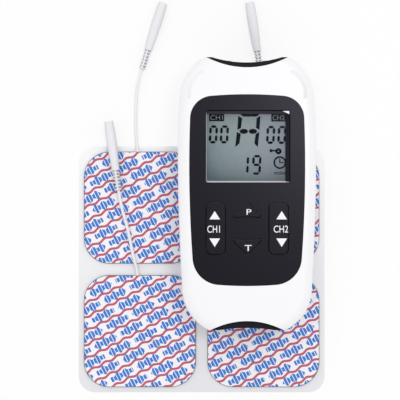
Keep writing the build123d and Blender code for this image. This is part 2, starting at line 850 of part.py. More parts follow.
# ================================================================ circuit board
with BuildPart() as circuit_board:
    with BuildSketch(unit.offset(board_bottom)):
        with Locations((0, (board_top_y + board_bottom_y) / 2)):
            RectangleRounded(2 * board_half_width, board_top_y - board_bottom_y, board_corner)
        with Locations(*pillar_spots):
            Circle(pillar_radius + board_clearance, mode=Mode.SUBTRACT)
    extrude(amount=board_thickness)
circuit_board.part.label = "circuit_board"
export_step(circuit_board.part, "parts/circuit_board.step")

key_middle = (key_base + key_apex) / 2
switch_spots = [(0, rocker_y + key_middle), (0, rocker_y - key_middle)]
switch_spots += [(x, y + side * switch_spacing) for x, y in rocker_spots for side in (-1, 1)]
with BuildPart() as key_switches:
    with BuildSketch(unit.offset(board_top)):
        with Locations(*switch_spots):
            Circle(switch_radius)
    extrude(amount=switch_height)
key_switches.part.label = "key_switches"
export_step(key_switches.part, "parts/key_switches.step")


def hung_blocks(file_name, spots, width, length, height):
    # Components soldered to the underside of the board.
    with BuildPart() as blocks:
        with BuildSketch(unit.offset(board_bottom - height)):
            with Locations(*spots):
                Rectangle(width, length)
        extrude(amount=height)
    blocks.part.label = file_name
    export_step(blocks.part, f"parts/{file_name}.step")


hung_blocks(
    "transformers", transformer_spots, transformer_width, transformer_length, transformer_height
)
hung_blocks("controller_chip", [chip_spot], chip_side, chip_side, chip_height)
with BuildPart() as buzzer:
    with BuildSketch(unit.offset(board_bottom - buzzer_height)):
        with Locations(buzzer_spot):
            Circle(buzzer_radius)
    extrude(amount=buzzer_height)
    with BuildSketch(unit.offset(board_bottom - buzzer_height)):
        with Locations(buzzer_spot):
            Circle(buzzer_port_radius)
    extrude(amount=buzzer_port_radius, mode=Mode.SUBTRACT)
buzzer.part.label = "buzzer"
export_step(buzzer.part, "parts/buzzer.step")
with BuildPart() as capacitors:
    with BuildSketch(unit.offset(board_bottom - capacitor_height)):
        with Locations(*capacitor_spots):
            Circle(capacitor_radius)
    extrude(amount=capacitor_height)
capacitors.part.label = "capacitors"
export_step(capacitors.part, "parts/capacitors.step")

# ================================================================ battery
cell_x = cell_radius + cell_gap / 2
plate_y = {1: bay_top_y - contact_plate, -1: bay_bottom_y + contact_plate}
with BuildPart() as battery_cells:
    for side in (-1, 1):
        # The left cell's tip points to +Y, the right cell's to -Y.
        tip_y = plate_y[-side]
        base = Plane(
            origin=(unit_x + side * cell_x, unit_y + tip_y, unit_z + cell_z),
            z_dir=(0, side, 0),
        )
        with BuildSketch(base):
            Circle(cell_tip_radius)
        extrude(amount=cell_tip_length)
        with BuildSketch(base.offset(cell_tip_length)):
            Circle(cell_radius)
        extrude(amount=cell_length - cell_tip_length)
battery_cells.part.label = "battery_cells"
export_step(battery_cells.part, "parts/battery_cells.step")

with BuildPart() as battery_contacts:
    for end in (-1, 1):
        face_y = plate_y[end]
        with BuildSketch(unit.offset(cell_z - contact_plate_width / 2)):
            with Locations((0, face_y + end * contact_plate / 2)):
                with Locations((-cell_x, 0), (cell_x, 0)):
                    Rectangle(contact_plate_width, contact_plate)
        extrude(amount=contact_plate_width)
battery_contacts.part.label = "battery_contacts"
export_step(battery_contacts.part, "parts/battery_contacts.step")

with BuildPart() as battery_springs:
    for side in (-1, 1):
        # A ribbed spring stands on the plate behind each cell's flat end.
        seat = Plane(
            origin=(unit_x + side * cell_x, unit_y + plate_y[side], unit_z + cell_z),
            x_dir=(1, 0, 0),
            z_dir=(0, -side, 0),
        )
        turn_height = spring_length / spring_turns
        for turn in range(spring_turns):
            with BuildSketch(seat.offset(turn * turn_height)):
                Circle(spring_radius)
                Circle(spring_radius - spring_wire, mode=Mode.SUBTRACT)
            extrude(amount=turn_height / 2)
            with BuildSketch(seat.offset((turn + 0.5) * turn_height)):
                Circle(spring_radius - spring_wire / 2)
                Circle(spring_radius - 2 * spring_wire, mode=Mode.SUBTRACT)
            extrude(amount=turn_height / 2)
battery_springs.part.label = "battery_springs"
export_step(battery_springs.part, "parts/battery_springs.step")

# ================================================================ screws
with BuildPart() as shell_screws:
    with BuildSketch(unit.offset(screw_seat - screw_head_height)):
        with Locations(*pillar_spots):
            Circle(screw_head_radius)
    extrude(amount=screw_head_height)
    with BuildSketch(unit.offset(screw_seat)):
        with Locations(*pillar_spots):
            Circle(screw_radius)
    extrude(amount=board_bottom - screw_seat - screw_slot)
    with BuildSketch(unit.offset(screw_seat - screw_head_height)):
        with Locations(*pillar_spots):
            Rectangle(2 * screw_radius, screw_slot)
            Rectangle(screw_slot, 2 * screw_radius)
    extrude(amount=screw_slot, mode=Mode.SUBTRACT)
shell_screws.part.label = "shell_screws"
export_step(shell_screws.part, "parts/shell_screws.step")

# ================================================================ battery door
with BuildPart() as battery_door:
    with BuildSketch(unit):
        add(casing_outline(0))
    extrude(amount=door_thickness)
    with BuildSketch(unit):
        with Locations((0, door_top_y - end_reach / 2)):
            Rectangle(2 * door_half_width, end_reach)
    extrude(amount=door_thickness, mode=Mode.INTERSECT)
    tongue_length = door_top_y - bay_bottom_y
    with BuildSketch(unit.offset(door_thickness - door_tongue_thickness)):
        with Locations((0, door_top_y - tongue_length / 2)):
            Rectangle(2 * (door_half_width + door_tongue), tongue_length)
    extrude(amount=door_tongue_thickness)
    with BuildSketch(unit):
        with Locations((0, grip_y)):
            with GridLocations(0, grip_pitch, 1, grip_ribs):
                Rectangle(door_half_width, grip_pitch / 2)
    extrude(amount=grip_depth, mode=Mode.SUBTRACT)
battery_door.part.label = "battery_door"
export_step(battery_door.part, "parts/battery_door.step")

# ================================================================ belt clip
rail_top_y = clip_block_bottom_y + clip_clearance + rail_length
with BuildPart() as belt_clip:
    with BuildSketch(unit.offset(-clip_height)):
        with Locations((0, (clip_top_y + clip_tip_y) / 2)):
            RectangleRounded(clip_width, clip_top_y - clip_tip_y, clip_corner)
    extrude(amount=clip_tongue)
    with BuildSketch(unit.offset(-clip_height)):
        with Locations((0, (clip_top_y + clip_block_bottom_y) / 2)):
            Rectangle(clip_width - 2 * clip_corner, clip_top_y - clip_block_bottom_y)
    extrude(amount=clip_block_thickness)
    with BuildSketch(unit.offset(-clip_height)):
        with Locations((0, clip_tip_y + clip_corner + clip_tip_length / 2)):
            Rectangle(clip_width - 2 * clip_corner, clip_tip_length)
    extrude(amount=clip_height - clip_tip_gap)
    # The T-shaped channel is open towards the tip, so the clip draws off upwards.
    channel_length = rail_top_y + clip_clearance - clip_block_bottom_y
    channel_y = clip_block_bottom_y + channel_length / 2
    with BuildSketch(unit):
        with Locations((0, channel_y)):
            Rectangle(2 * (rail_neck_half + clip_clearance), channel_length)
    extrude(amount=-rail_neck_height, mode=Mode.SUBTRACT)
    channel_depth = rail_neck_height + rail_head_height + clip_clearance
    with BuildSketch(unit.offset(-channel_depth)):
        with Locations((0, channel_y)):
            Rectangle(2 * (rail_head_half + clip_clearance), channel_length)
    extrude(amount=rail_head_height + 2 * clip_clearance, mode=Mode.SUBTRACT)
belt_clip.part.label = "belt_clip"
export_step(belt_clip.part, "parts/belt_clip.step")
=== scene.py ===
import math

import bmesh
import bpy
from mathutils import Matrix, Vector


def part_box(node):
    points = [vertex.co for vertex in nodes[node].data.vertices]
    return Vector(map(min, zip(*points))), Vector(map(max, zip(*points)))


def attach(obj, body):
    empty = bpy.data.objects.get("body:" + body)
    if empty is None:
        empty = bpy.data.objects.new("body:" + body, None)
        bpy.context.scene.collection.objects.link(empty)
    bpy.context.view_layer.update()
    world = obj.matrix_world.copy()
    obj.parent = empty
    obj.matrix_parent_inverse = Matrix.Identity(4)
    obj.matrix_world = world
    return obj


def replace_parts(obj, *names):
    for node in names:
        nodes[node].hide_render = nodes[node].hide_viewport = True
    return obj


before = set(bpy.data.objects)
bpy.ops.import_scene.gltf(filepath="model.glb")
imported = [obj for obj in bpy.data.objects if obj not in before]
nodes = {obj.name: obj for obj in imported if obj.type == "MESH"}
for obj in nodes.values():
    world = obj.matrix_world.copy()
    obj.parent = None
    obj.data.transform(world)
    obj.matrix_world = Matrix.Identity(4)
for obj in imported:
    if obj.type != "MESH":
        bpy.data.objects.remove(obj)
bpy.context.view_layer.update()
scene = bpy.context.scene
mm = 0.001


def srgb(*levels):
    # display levels, 0 to 255, to the linear values that shaders take
    def linear(level):
        c = level / 255
        return c / 12.92 if c <= 0.04045 else ((c + 0.055) / 1.055) ** 2.4

    return tuple(linear(level) for level in levels)


# node trees: a Wire is a socket that Python's operators work on
class Wire:
    def __init__(self, tree, socket):
        self.tree = tree
        self.socket = socket

    def __add__(self, other):
        return self.tree.calc("ADD", self, other)

    def __radd__(self, other):
        return self.tree.calc("ADD", other, self)

    def __sub__(self, other):
        return self.tree.calc("SUBTRACT", self, other)

    def __rsub__(self, other):
        return self.tree.calc("SUBTRACT", other, self)

    def __mul__(self, other):
        return self.tree.calc("MULTIPLY", self, other)

    def __rmul__(self, other):
        return self.tree.calc("MULTIPLY", other, self)

    def __truediv__(self, other):
        return self.tree.calc("DIVIDE", self, other)

    def __rtruediv__(self, other):
        return self.tree.calc("DIVIDE", other, self)

    def __mod__(self, other):
        return self.tree.calc("FLOORED_MODULO", self, other)

    def __pow__(self, other):
        return self.tree.calc("POWER", self, other)

    def __lt__(self, other):
        return self.tree.calc("LESS_THAN", self, other)

    def __gt__(self, other):
        return self.tree.calc("GREATER_THAN", self, other)

    def __and__(self, other):
        return self.tree.calc("MULTIPLY", self, other)

    def __or__(self, other):
        return self.tree.calc("MAXIMUM", self, other)

    def __abs__(self):
        return self.tree.calc("ABSOLUTE", self)

    def floor(self):
        return self.tree.calc("FLOOR", self)

    def sine(self):
        return self.tree.calc("SINE", self)


class Tree:
    def __init__(self, tree):
        self.tree = tree
        self.tree.nodes.clear()

    def feed(self, socket, value):
        if isinstance(value, Wire):
            value = value.socket
        if isinstance(value, bpy.types.NodeSocket):
            self.tree.links.new(value, socket)
        elif socket.type == "RGBA" and isinstance(value, (tuple, list)) and len(value) == 3:
            socket.default_value = (*value, 1)
        else:
            socket.default_value = value

    def add(self, kind, settings=None, values=None):
        node = self.tree.nodes.new(kind)
        for name, value in (settings or {}).items():
            setattr(node, name, value)
        for name, value in (values or {}).items():
            self.feed(node.inputs[name], value)
        return node

    def calc(self, operation, *values):
        node = self.add("ShaderNodeMath", {"operation": operation}, dict(enumerate(values)))
        return Wire(self, node.outputs[0])


class Finish(Tree):
    # a material on one Principled shader
    def __init__(self, name, constants=None):
        self.material = bpy.data.materials.new(name)
        self.material.use_nodes = True
        super().__init__(self.material.node_tree)
        self.shader = self.add("ShaderNodeBsdfPrincipled", None, constants)
        self.output = self.add("ShaderNodeOutputMaterial", None, {0: self.shader.outputs[0]})

    def place(self):
        # object coordinates in millimetres
        coords = self.add("ShaderNodeTexCoord").outputs["Object"]
        split = self.add("ShaderNodeSeparateXYZ", None, {0: coords})
        return [Wire(self, split.outputs[axis]) / mm for axis in range(3)]

    def facing(self, axis):
        # the normal along an axis: along the last, 1 on a level top and 0 on an upright side
        normal = self.add("ShaderNodeTexCoord").outputs["Normal"]
        return Wire(self, self.add("ShaderNodeSeparateXYZ", None, {0: normal}).outputs[axis])

    def noise(self, perMm, detail=2.0, stretch=(1, 1, 1)):
        coords = self.add("ShaderNodeTexCoord").outputs["Object"]
        scale = [perMm / mm * s for s in stretch]
        spread = self.add("ShaderNodeMapping", None, {"Vector": coords, "Scale": scale})
        values = {"Vector": spread.outputs[0], "Scale": 1.0, "Detail": detail}
        return Wire(self, self.add("ShaderNodeTexNoise", None, values).outputs["Fac"])

    def mix(self, factor, first, second):
        values = {0: factor, 6: first, 7: second}
        return self.add("ShaderNodeMix", {"data_type": "RGBA"}, values).outputs[2]

    def colour(self, value):
        self.feed(self.shader.inputs["Base Color"], value)

    def rough(self, value):
        self.feed(self.shader.inputs["Roughness"], value)

    def bump(self, height, strength, depth):
        values = {"Strength": strength, "Distance": depth * mm, "Height": height}
        raised = self.add("ShaderNodeBump", None, values)
        self.feed(self.shader.inputs["Normal"], raised.outputs[0])


def shade(tone, share):
    return tuple(min(1.0, c * share) for c in tone)


def moulded(name, tone, rough, grain=0.02, shift=0.04, constants=None):
    # moulded plastic: fine spark texture, a slow drift in tone and sheen
    finish = Finish(name, constants)
    drift = finish.noise(0.035)
    spark = finish.noise(6.0, 3)
    finish.colour(finish.mix(drift, shade(tone, 1 - shift), tone))
    finish.rough(rough - 0.06 + 0.12 * spark)
    finish.bump(spark, 0.25, grain)
    return finish.material


def vinyl(name, tone, side, rough):
    # soft white vinyl with painted shade: greyer down its sides, where they turn from the light
    finish = Finish(name, {"Specular IOR Level": 0.3})
    spark = finish.noise(6.0, 3)
    upward = finish.calc("SMOOTH_MIN", finish.facing(2), 0.85, 0.3)
    # painted shade: the side colour wherever the surface faces sideways
    finish.colour(finish.mix((upward * 1.15) ** 0.6 + 0.06 * spark, side, tone))
    finish.rough(rough - 0.04 + 0.08 * spark)
    finish.bump(spark, 0.2, 0.01)
    return finish.material


def metal(name, dark, pale, rough, stretch=(1, 1, 1)):
    # bare metal with a fine grain
    finish = Finish(name, {"Metallic": 1.0})
    grain = finish.noise(1.5, 3, stretch)
    finish.colour(finish.mix(grain, dark, pale))
    finish.rough(rough + 0.16 * grain)
    return finish.material


# pieces
def linked(name, data):
    piece = bpy.data.objects.new(name, data)
    scene.collection.objects.link(piece)
    return piece


def riding(piece, body, *replaced):
    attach(piece, body)
    if replaced:
        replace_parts(piece, *replaced)
    return piece


def settled(piece):
    # the piece as its modifiers leave it, in one plain mesh
    graph = bpy.context.evaluated_depsgraph_get()
    mesh = bpy.data.meshes.new_from_object(piece.evaluated_get(graph), depsgraph=graph)
    piece.modifiers.clear()
    piece.data = mesh
    return piece


def tidyMesh(mesh, dissolve=0.0, outward=True):
    bm = bmesh.new()
    bm.from_mesh(mesh)
    bmesh.ops.remove_doubles(bm, verts=bm.verts, dist=1e-7)
    if dissolve:
        flat = math.radians(dissolve)
        bmesh.ops.dissolve_limit(bm, angle_limit=flat, verts=bm.verts, edges=bm.edges)
    if outward:
        bmesh.ops.recalc_face_normals(bm, faces=bm.faces)
    bm.to_mesh(mesh)
    bm.free()


def smooth(mesh, angle):
    mesh.shade_smooth()
    mesh.set_sharp_from_angle(angle=math.radians(angle))


def solid(name, verts, faces, material, body, angle=35):
    # a closed piece from points in millimetres
    mesh = bpy.data.meshes.new(name)
    mesh.from_pydata([Vector(v) * mm for v in verts], [], faces)
    tidyMesh(mesh)
    mesh.materials.append(material)
    smooth(mesh, angle)
    return riding(linked(name, mesh), body)


def dress(name, material, body, edge=0.0, angle=35):
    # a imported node's own shape with soft edges and a finish
    mesh = nodes[name].data.copy()
    tidyMesh(mesh, dissolve=0.1, outward=False)
    mesh.materials.clear()
    mesh.materials.append(material)
    smooth(mesh, angle)
    piece = linked(name + ".skin", mesh)
    if edge:
        bevel = piece.modifiers.new("edges", "BEVEL")
        bevel.width = edge * mm
        bevel.segments = 2
        bevel.limit_method = "ANGLE"
        bevel.angle_limit = math.radians(angle)
        bevel.use_clamp_overlap = True
    normals = piece.modifiers.new("normals", "WEIGHTED_NORMAL")
    normals.mode = "FACE_AREA"
    normals.weight = 100
    normals.keep_sharp = True
    return riding(settled(piece), body, name)


def coat(material, *names):
    for name in names:
        mesh = nodes[name].data
        mesh.materials.clear()
        mesh.materials.append(material)


def lowest(name):
    return Vector(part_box(name)[0]) / mm


def highest(name):
    return Vector(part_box(name)[1]) / mm


def rectangle(left, bottom, right, top):
    return [(left, bottom), (right, bottom), (right, top), (left, top)]


def moved(field, x, y):
    # a field is (left, bottom, right, top)
    return (field[0] + x, field[1] + y, field[2] + x, field[3] + y)


def plates(name, outlines, level, thick, material, body):
    # flat shapes of one thickness, in one mesh
    verts, faces = [], []
    for outline in outlines:
        start, count = len(verts), len(outline)
        for height in (level, level + thick):
            verts += [(x, y, height) for x, y in outline]
        faces.append(tuple(start + k for k in reversed(range(count))))
        faces.append(tuple(start + count + k for k in range(count)))
        for k in range(count):
            n = (k + 1) % count
            faces.append((start + k, start + n, start + count + n, start + count + k))
    return solid(name, verts, faces, material, body, 30)


def lathe(name, profile, origin, heading, sides, material, body):
    # a profile of (distance, radius) turned about the heading
    along = Vector(heading).normalized()
    side = along.cross(Vector((0, 0, 1))).normalized()
    up = side.cross(along)
    verts = []
    for distance, radius in profile:
        for k in range(sides):
            turn = 2 * math.pi * k / sides
            rim = side * math.cos(turn) + up * math.sin(turn)
            verts.append(Vector(origin) + along * distance + rim * radius)
    faces = []
    for ring in range(len(profile) - 1):
        for k in range(sides):
            a, b = ring * sides + k, ring * sides + (k + 1) % sides
            faces.append((a, b, b + sides, a + sides))
    return solid(name, verts, faces, material, body)


def lettering(name, text, field, level, thick, material, body, weight):
    # generic letters and figures, fitted to a field
    curve = bpy.data.curves.new(name, "FONT")
    curve.body = text
    curve.extrude = 0.5
    curve.offset = weight
    curve.resolution_u = 6
    draft = linked(name, curve)
    graph = bpy.context.evaluated_depsgraph_get()
    mesh = bpy.data.meshes.new_from_object(draft.evaluated_get(graph), depsgraph=graph)
    bpy.data.objects.remove(draft)
    low = [min(v.co[axis] for v in mesh.vertices) for axis in range(3)]
    high = [max(v.co[axis] for v in mesh.vertices) for axis in range(3)]
    start, end = (field[0], field[1], level), (field[2], field[3], level + thick)
    for v in mesh.vertices:
        for axis in range(3):
            share = (v.co[axis] - low[axis]) / (high[axis] - low[axis])
            v.co[axis] = (start[axis] + share * (end[axis] - start[axis])) * mm
    tidyMesh(mesh)
    mesh.materials.clear()
    mesh.materials.append(material)
    smooth(mesh, 30)
    return riding(linked(name, mesh), body)


# geometry node trees for what repeats, and how many sides their round shapes have
roundings = {"ring": 40, "bead": 10, "coil": 48}


def geometryTree(name, inputs):
    group = bpy.data.node_groups.new(name, "GeometryNodeTree")
    sockets = group.interface
    sockets.new_socket("Geometry", in_out="OUTPUT", socket_type="NodeSocketGeometry")
    inputs = {**inputs, "Turn": "Vector", "Place": "Vector", "Finish": "Material"}
    for label, kind in inputs.items():
        sockets.new_socket(label, in_out="INPUT", socket_type="NodeSocket" + kind)
    tree = Tree(group)
    return tree, tree.add("NodeGroupInput").outputs


def grown(name, tree, values, body):
    # a plain mesh from a node tree and its named inputs
    piece = linked(name, bpy.data.meshes.new(name))
    modifier = piece.modifiers.new("grow", "NODES")
    modifier.node_group = tree.tree
    for item in tree.tree.interface.items_tree:
        if item.in_out == "INPUT":
            modifier[item.identifier] = values[item.name]
    settled(piece)
    tidyMesh(piece.data)
    smooth(piece.data, 40)
    return riding(piece, body)


def placedAndPainted(tree, given, shape):
    # the end of both trees: turned, moved to its place and given its finish
    real = tree.add("GeometryNodeRealizeInstances", None, {0: shape.outputs[0]}).outputs[0]
    values = {"Geometry": real, "Translation": given["Place"], "Rotation": given["Turn"]}
    placed = tree.add("GeometryNodeTransform", None, values)
    values = {"Geometry": placed.outputs[0], "Material": given["Finish"]}
    painted = tree.add("GeometryNodeSetMaterial", None, values)
    tree.add("NodeGroupOutput", None, {0: painted.outputs[0]})
    return tree


def swept(tree, path, sides, radius, values=None):
    # a round bead along a curve
    ring = {"Resolution": sides, "Radius": radius}
    bead = tree.add("GeometryNodeCurvePrimitiveCircle", None, ring)
    ends = {"Curve": path.outputs[0], "Profile Curve": bead.outputs[0], **(values or {})}
    return tree.add("GeometryNodeCurveToMesh", None, ends)


def ribTree():
    # rounded rings in a row along +X
    kinds = {"Count": "Int", "Pitch": "Float", "Radius": "Float", "Thick": "Float"}
    tree, given = geometryTree("reliefRibs", kinds)
    step = tree.add("ShaderNodeCombineXYZ", None, {0: given["Pitch"]})
    values = {"Count": given["Count"], "Offset": step.outputs[0]}
    line = tree.add("GeometryNodeMeshLine", None, values)
    values = {"Resolution": roundings["ring"], "Radius": given["Radius"]}
    hoop = tree.add("GeometryNodeCurvePrimitiveCircle", None, values)
    ring = swept(tree, hoop, roundings["bead"], given["Thick"])
    values = {"Geometry": ring.outputs[0], "Rotation": (0, math.pi / 2, 0)}
    stood = tree.add("GeometryNodeTransform", None, values)
    values = {"Points": line.outputs[0], "Instance": stood.outputs[0]}
    return placedAndPainted(tree, given, tree.add("GeometryNodeInstanceOnPoints", None, values))


def springTree():
    # one coil spring, wound up +Z
    kinds = {"Turns": "Float", "Radius": "Float", "Wire": "Float", "Height": "Float"}
    tree, given = geometryTree("coilSpring", kinds)
    values = {
        "Resolution": roundings["coil"],
        "Rotations": given["Turns"],
        "Height": given["Height"],
        "Start Radius": given["Radius"],
        "End Radius": given["Radius"],
    }
    coil = tree.add("GeometryNodeCurveSpiral", None, values)
    wound = swept(tree, coil, roundings["bead"], given["Wire"], {"Fill Caps": True})
    return placedAndPainted(tree, given, wound)


# camera
view = {"height": 850, "lens": 170.9, "across": -0.74, "along": 12.0}
cameraData = bpy.data.cameras.new("camera")
cameraData.lens = view["lens"]
cameraData.sensor_width = 36
cameraData.clip_end = 10
camera = linked("camera", cameraData)
camera.location = Vector((view["across"], view["along"], view["height"])) * mm
scene.camera = camera

# leads: each wire leaves its electrode's upper edge and ends in a ribbed socket sleeve
lead = {
    "diameter": 1.4,
    "padStep": 27.6,
    "padSide": 50.0,
    "cardY": -19.0,
    "exitShift": -1.0,
    "exitZ": 1.1,
    "approach": 6.8,
    "lengths": {1: 37.2, 2: 36.2, 3: 39.3, 4: 36.4},
    "middles": {
        1: [(-29.4, 40.2, 0.92), (-29.5, 48.8, 0.75), (-29.3, 56.6, 1.1)],
        2: [(26.8, 41.0, 0.92), (26.7, 48.6, 0.75), (26.8, 55.9, 1.1)],
        3: [
            (-28.85, -19.6, 1.2),
            (-29.7, -16.0, 2.85),
            (-30.9, -11.2, 3.05),
            (-32.1, -5.0, 2.5),
            (-33.6, 1.8, 2.9),
        ],
        4: [
            (26.75, -19.6, 1.2),
            (27.9, -16.0, 2.85),
            (30.4, -11.8, 3.0),
            (34.0, -7.0, 2.5),
            (36.9, -1.2, 2.9),
        ],
    },
    "tails": {
        1: (-26.6, 70.4, 2.3),
        2: (26.2, 69.6, 2.3),
        3: (-37.0, 16.4, 4.05),
        4: (38.6, 11.6, 4.05),
    },
    "headings": {
        1: (9.4, 29.6, 0),
        2: (-4.75, 30.35, 0),
        3: (-4.4, 30.45, 0),
        4: (1.5, 30.8, 0),
    },
}
sleeve = {
    "length": 31.0,
    "tail": 1.55,
    "waist": 1.75,
    "belly": 2.25,
    "mouth": 1.95,
    "bellyShare": 0.75,
    "swellPower": 1.15,
    "taperPower": 1.6,
    "relief": 9.0,
    "ribs": 6,
    "core": 1.12,
    "chamfer": 0.1,
    "bead": 0.4,
    "spine": 0.38,
    "spineFoot": 0.4,
    "spineRound": 0.12,
    "spineShift": 0.22,
    "steps": 24,
    "bore": 1.34,
    "boreDepth": 15.0,
    "lip": 0.22,
    "sides": 40,
}
# the second colour of each vinyl is the painted shade down its sides
wireVinyl = vinyl("wireVinyl", srgb(246, 245, 249), srgb(206, 205, 211), 0.42)
sleeveVinyl = vinyl("sleeveVinyl", srgb(239, 238, 242), srgb(186, 185, 191), 0.36)
# painted shade: a darker vinyl for the hollows between the ribs
grooveVinyl = vinyl("grooveVinyl", srgb(176, 175, 181), srgb(140, 139, 145), 0.5)
nickel = metal("nickelPlate", srgb(176, 172, 164), srgb(205, 202, 196), 0.22)


def sleeveRadius(distance):
    # the relief, a slow swell to the belly, then in again to the mouth
    bellyAt, relief = sleeve["bellyShare"] * sleeve["length"], sleeve["relief"]
    waist, belly = sleeve["waist"], sleeve["belly"]
    if distance <= relief:
        return sleeve["tail"] + (waist - sleeve["tail"]) * distance / relief
    if distance <= bellyAt:
        t = (distance - relief) / (bellyAt - relief)
        return waist + (belly - waist) * math.sin(t * math.pi / 2) ** sleeve["swellPower"]
    t = (distance - bellyAt) / (sleeve["length"] - bellyAt)
    return belly + (sleeve["mouth"] - belly) * t ** sleeve["taperPower"]


def sleeveProfile():
    # from the wire's end, over the outside and back down the bore
    end, lip, core = sleeve["length"], sleeve["lip"], sleeve["core"]
    relief, chamfer, steps = sleeve["relief"], sleeve["chamfer"], sleeve["steps"]
    profile = [(0.0, 0.0), (0.0, core - chamfer), (chamfer, core), (relief - 0.4, core)]
    profile += [(relief - 0.12, sleeve["waist"] - chamfer)]
    for step in range(steps + 1):
        distance = relief + (end - lip - relief) * step / steps
        profile.append((distance, sleeveRadius(distance)))
    profile += [(end - 0.3 * lip, sleeve["mouth"] - 0.3 * lip), (end, sleeve["mouth"] - lip)]
    profile += [(end, sleeve["bore"]), (end - sleeve["boreDepth"], sleeve["bore"])]
    return profile + [(end - sleeve["boreDepth"], 0.0)]


def padExit(number):
    # where the wire leaves the electrode: 1 and 2 are the upper pair, 1 and 3 the left pair
    x = lead["padStep"] if number in (2, 4) else -lead["padStep"]
    y = lead["padStep"] if number in (1, 2) else -lead["padStep"]
    edgeY = lead["cardY"] + y + lead["padSide"] / 2
    return Vector((x + lead["exitShift"], edgeY, lead["exitZ"]))


def makeWire(number, route):
    curve = bpy.data.curves.new(f"wire{number}", "CURVE")
    curve.dimensions = "3D"
    curve.bevel_depth = lead["diameter"] / 2 * mm
    curve.bevel_resolution = 6
    curve.resolution_u = 16
    spline = curve.splines.new("NURBS")
    spline.points.add(len(route) - 1)
    for point, spot in zip(spline.points, route):
        point.co = (*(Vector(spot) * mm), 1)
    spline.order_u = 3
    spline.use_endpoint_u = True
    curve.materials.append(wireVinyl)
    return riding(linked(f"wire{number}", curve), "electrode_card", f"lead_{number}")


def makeRibs(number, tree, tail, heading):
    pitch = sleeve["relief"] / sleeve["ribs"]
    values = {
        "Count": sleeve["ribs"],
        "Pitch": pitch * mm,
        "Radius": (sleeve["tail"] - sleeve["bead"]) * mm,
        "Thick": sleeve["bead"] * mm,
        "Turn": (0, 0, math.atan2(heading.y, heading.x)),
        "Place": tuple((tail + heading * (sleeve["bead"] + 0.02)) * mm),
        "Finish": sleeveVinyl,
    }
    return grown(f"sleeveRibs{number}", tree, values, "electrode_card")


def darkenGrooves(boot, tail, heading):
    # painted shade on the relief's core, seen between its ribs
    boot.data.materials.append(grooveVinyl)
    for face in boot.data.polygons:
        if (face.center / mm - tail).dot(heading) < sleeve["relief"] - 0.25:
            face.material_index = 1


def makeSpine(number, tail, heading):
    # a low rail along the top of the relief, which ties its ribs together
    side, up = Vector((-heading.y, heading.x, 0)), Vector((0, 0, 1))
    top, half, foot = sleeve["tail"] - 0.06, sleeve["spine"], sleeve["spineFoot"]
    shoulder, chamfer = top - sleeve["spineRound"], sleeve["chamfer"]
    section = [(-half, foot), (half, foot), (half, shoulder), (0, top), (-half, shoulder)]
    tail = tail + side * sleeve["spineShift"]
    verts = []
    for along in (chamfer, sleeve["relief"] - chamfer):
        for across, height in section:
            verts.append(tail + heading * along + side * across + up * height)
    faces = [tuple(range(5)), tuple(range(5, 10))]
    faces += [(k, (k + 1) % 5, (k + 1) % 5 + 5, k + 5) for k in range(5)]
    return solid(f"sleeveSpine{number}", verts, faces, sleeveVinyl, "electrode_card", 30)


reliefRibs = ribTree()
for number in (1, 2, 3, 4):
    tail = Vector(lead["tails"][number])
    heading = Vector(lead["headings"][number]).normalized()
    route = [padExit(number), *lead["middles"][number], tail - heading * lead["approach"], tail]
    wire = makeWire(number, route)
    shape = (sleeveProfile(), tail, heading, sleeve["sides"])
    boot = lathe(f"sleeve{number}", *shape, sleeveVinyl, "electrode_card")
    darkenGrooves(boot, tail, heading)
    ribs = makeRibs(number, reliefRibs, tail, heading)
    spine = makeSpine(number, tail, heading)
    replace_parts(boot, f"lead_{number}_sleeve")
    contact = nodes[f"lead_{number}_contact"]
    coat(nickel, contact.name)
print("leads laid")

# light and floor
light = {
    "sky": 0.97,
    "sun": 0.22,
    "sunSoft": 30,
    "sunLift": 60,
    "sunTurn": 42,
    "boxPower": 1.3,
    "boxWide": 150,
    "boxTall": 240,
    "boxPlace": (195, 135, 930),
    "boxAim": (20, 15, 30),
    "floorShadow": 0.26,
    "floorReach": 3.0,
    "floorSunk": -1e-5,
}
scene.view_settings.view_transform = "Standard"
sun = bpy.data.lights.new("sun", "SUN")
sun.energy = light["sun"]
sun.angle = math.radians(light["sunSoft"])
sunLamp = linked("sun", sun)
sunLean, sunTurn = math.radians(90 - light["sunLift"]), math.radians(90 + light["sunTurn"])
sunLamp.rotation_euler = (0, sunLean, sunTurn)

softbox = bpy.data.lights.new("softbox", "AREA")
softbox.energy = light["boxPower"]
softbox.shape = "RECTANGLE"
softbox.size = light["boxWide"] * mm
softbox.size_y = light["boxTall"] * mm
boxLamp = linked("softbox", softbox)
boxLamp.location = Vector(light["boxPlace"]) * mm
aim = Vector(light["boxPlace"]) - Vector(light["boxAim"])
boxLamp.rotation_euler = aim.to_track_quat("Z", "Y").to_euler()
boxLamp.visible_camera = False

world = bpy.data.worlds.new("studio")
scene.world = world
world.use_nodes = True


def seenDirectly(tree):
    # 1 on rays from the camera, from a mirror-like surface or through glass
    rays = tree.add("ShaderNodeLightPath").outputs
    seen = Wire(tree, rays["Is Camera Ray"])
    return seen | rays["Is Glossy Ray"] | rays["Is Transmission Ray"]


studio = Tree(world.node_tree)
sky = studio.add("ShaderNodeBackground", None, {"Strength": light["sky"]})
plain = studio.add("ShaderNodeBackground", None, {"Strength": 1.0})
values = {0: seenDirectly(studio), 1: sky.outputs[0], 2: plain.outputs[0]}
blend = studio.add("ShaderNodeMixShader", None, values)
studio.add("ShaderNodeOutputWorld", None, {0: blend.outputs[0]})

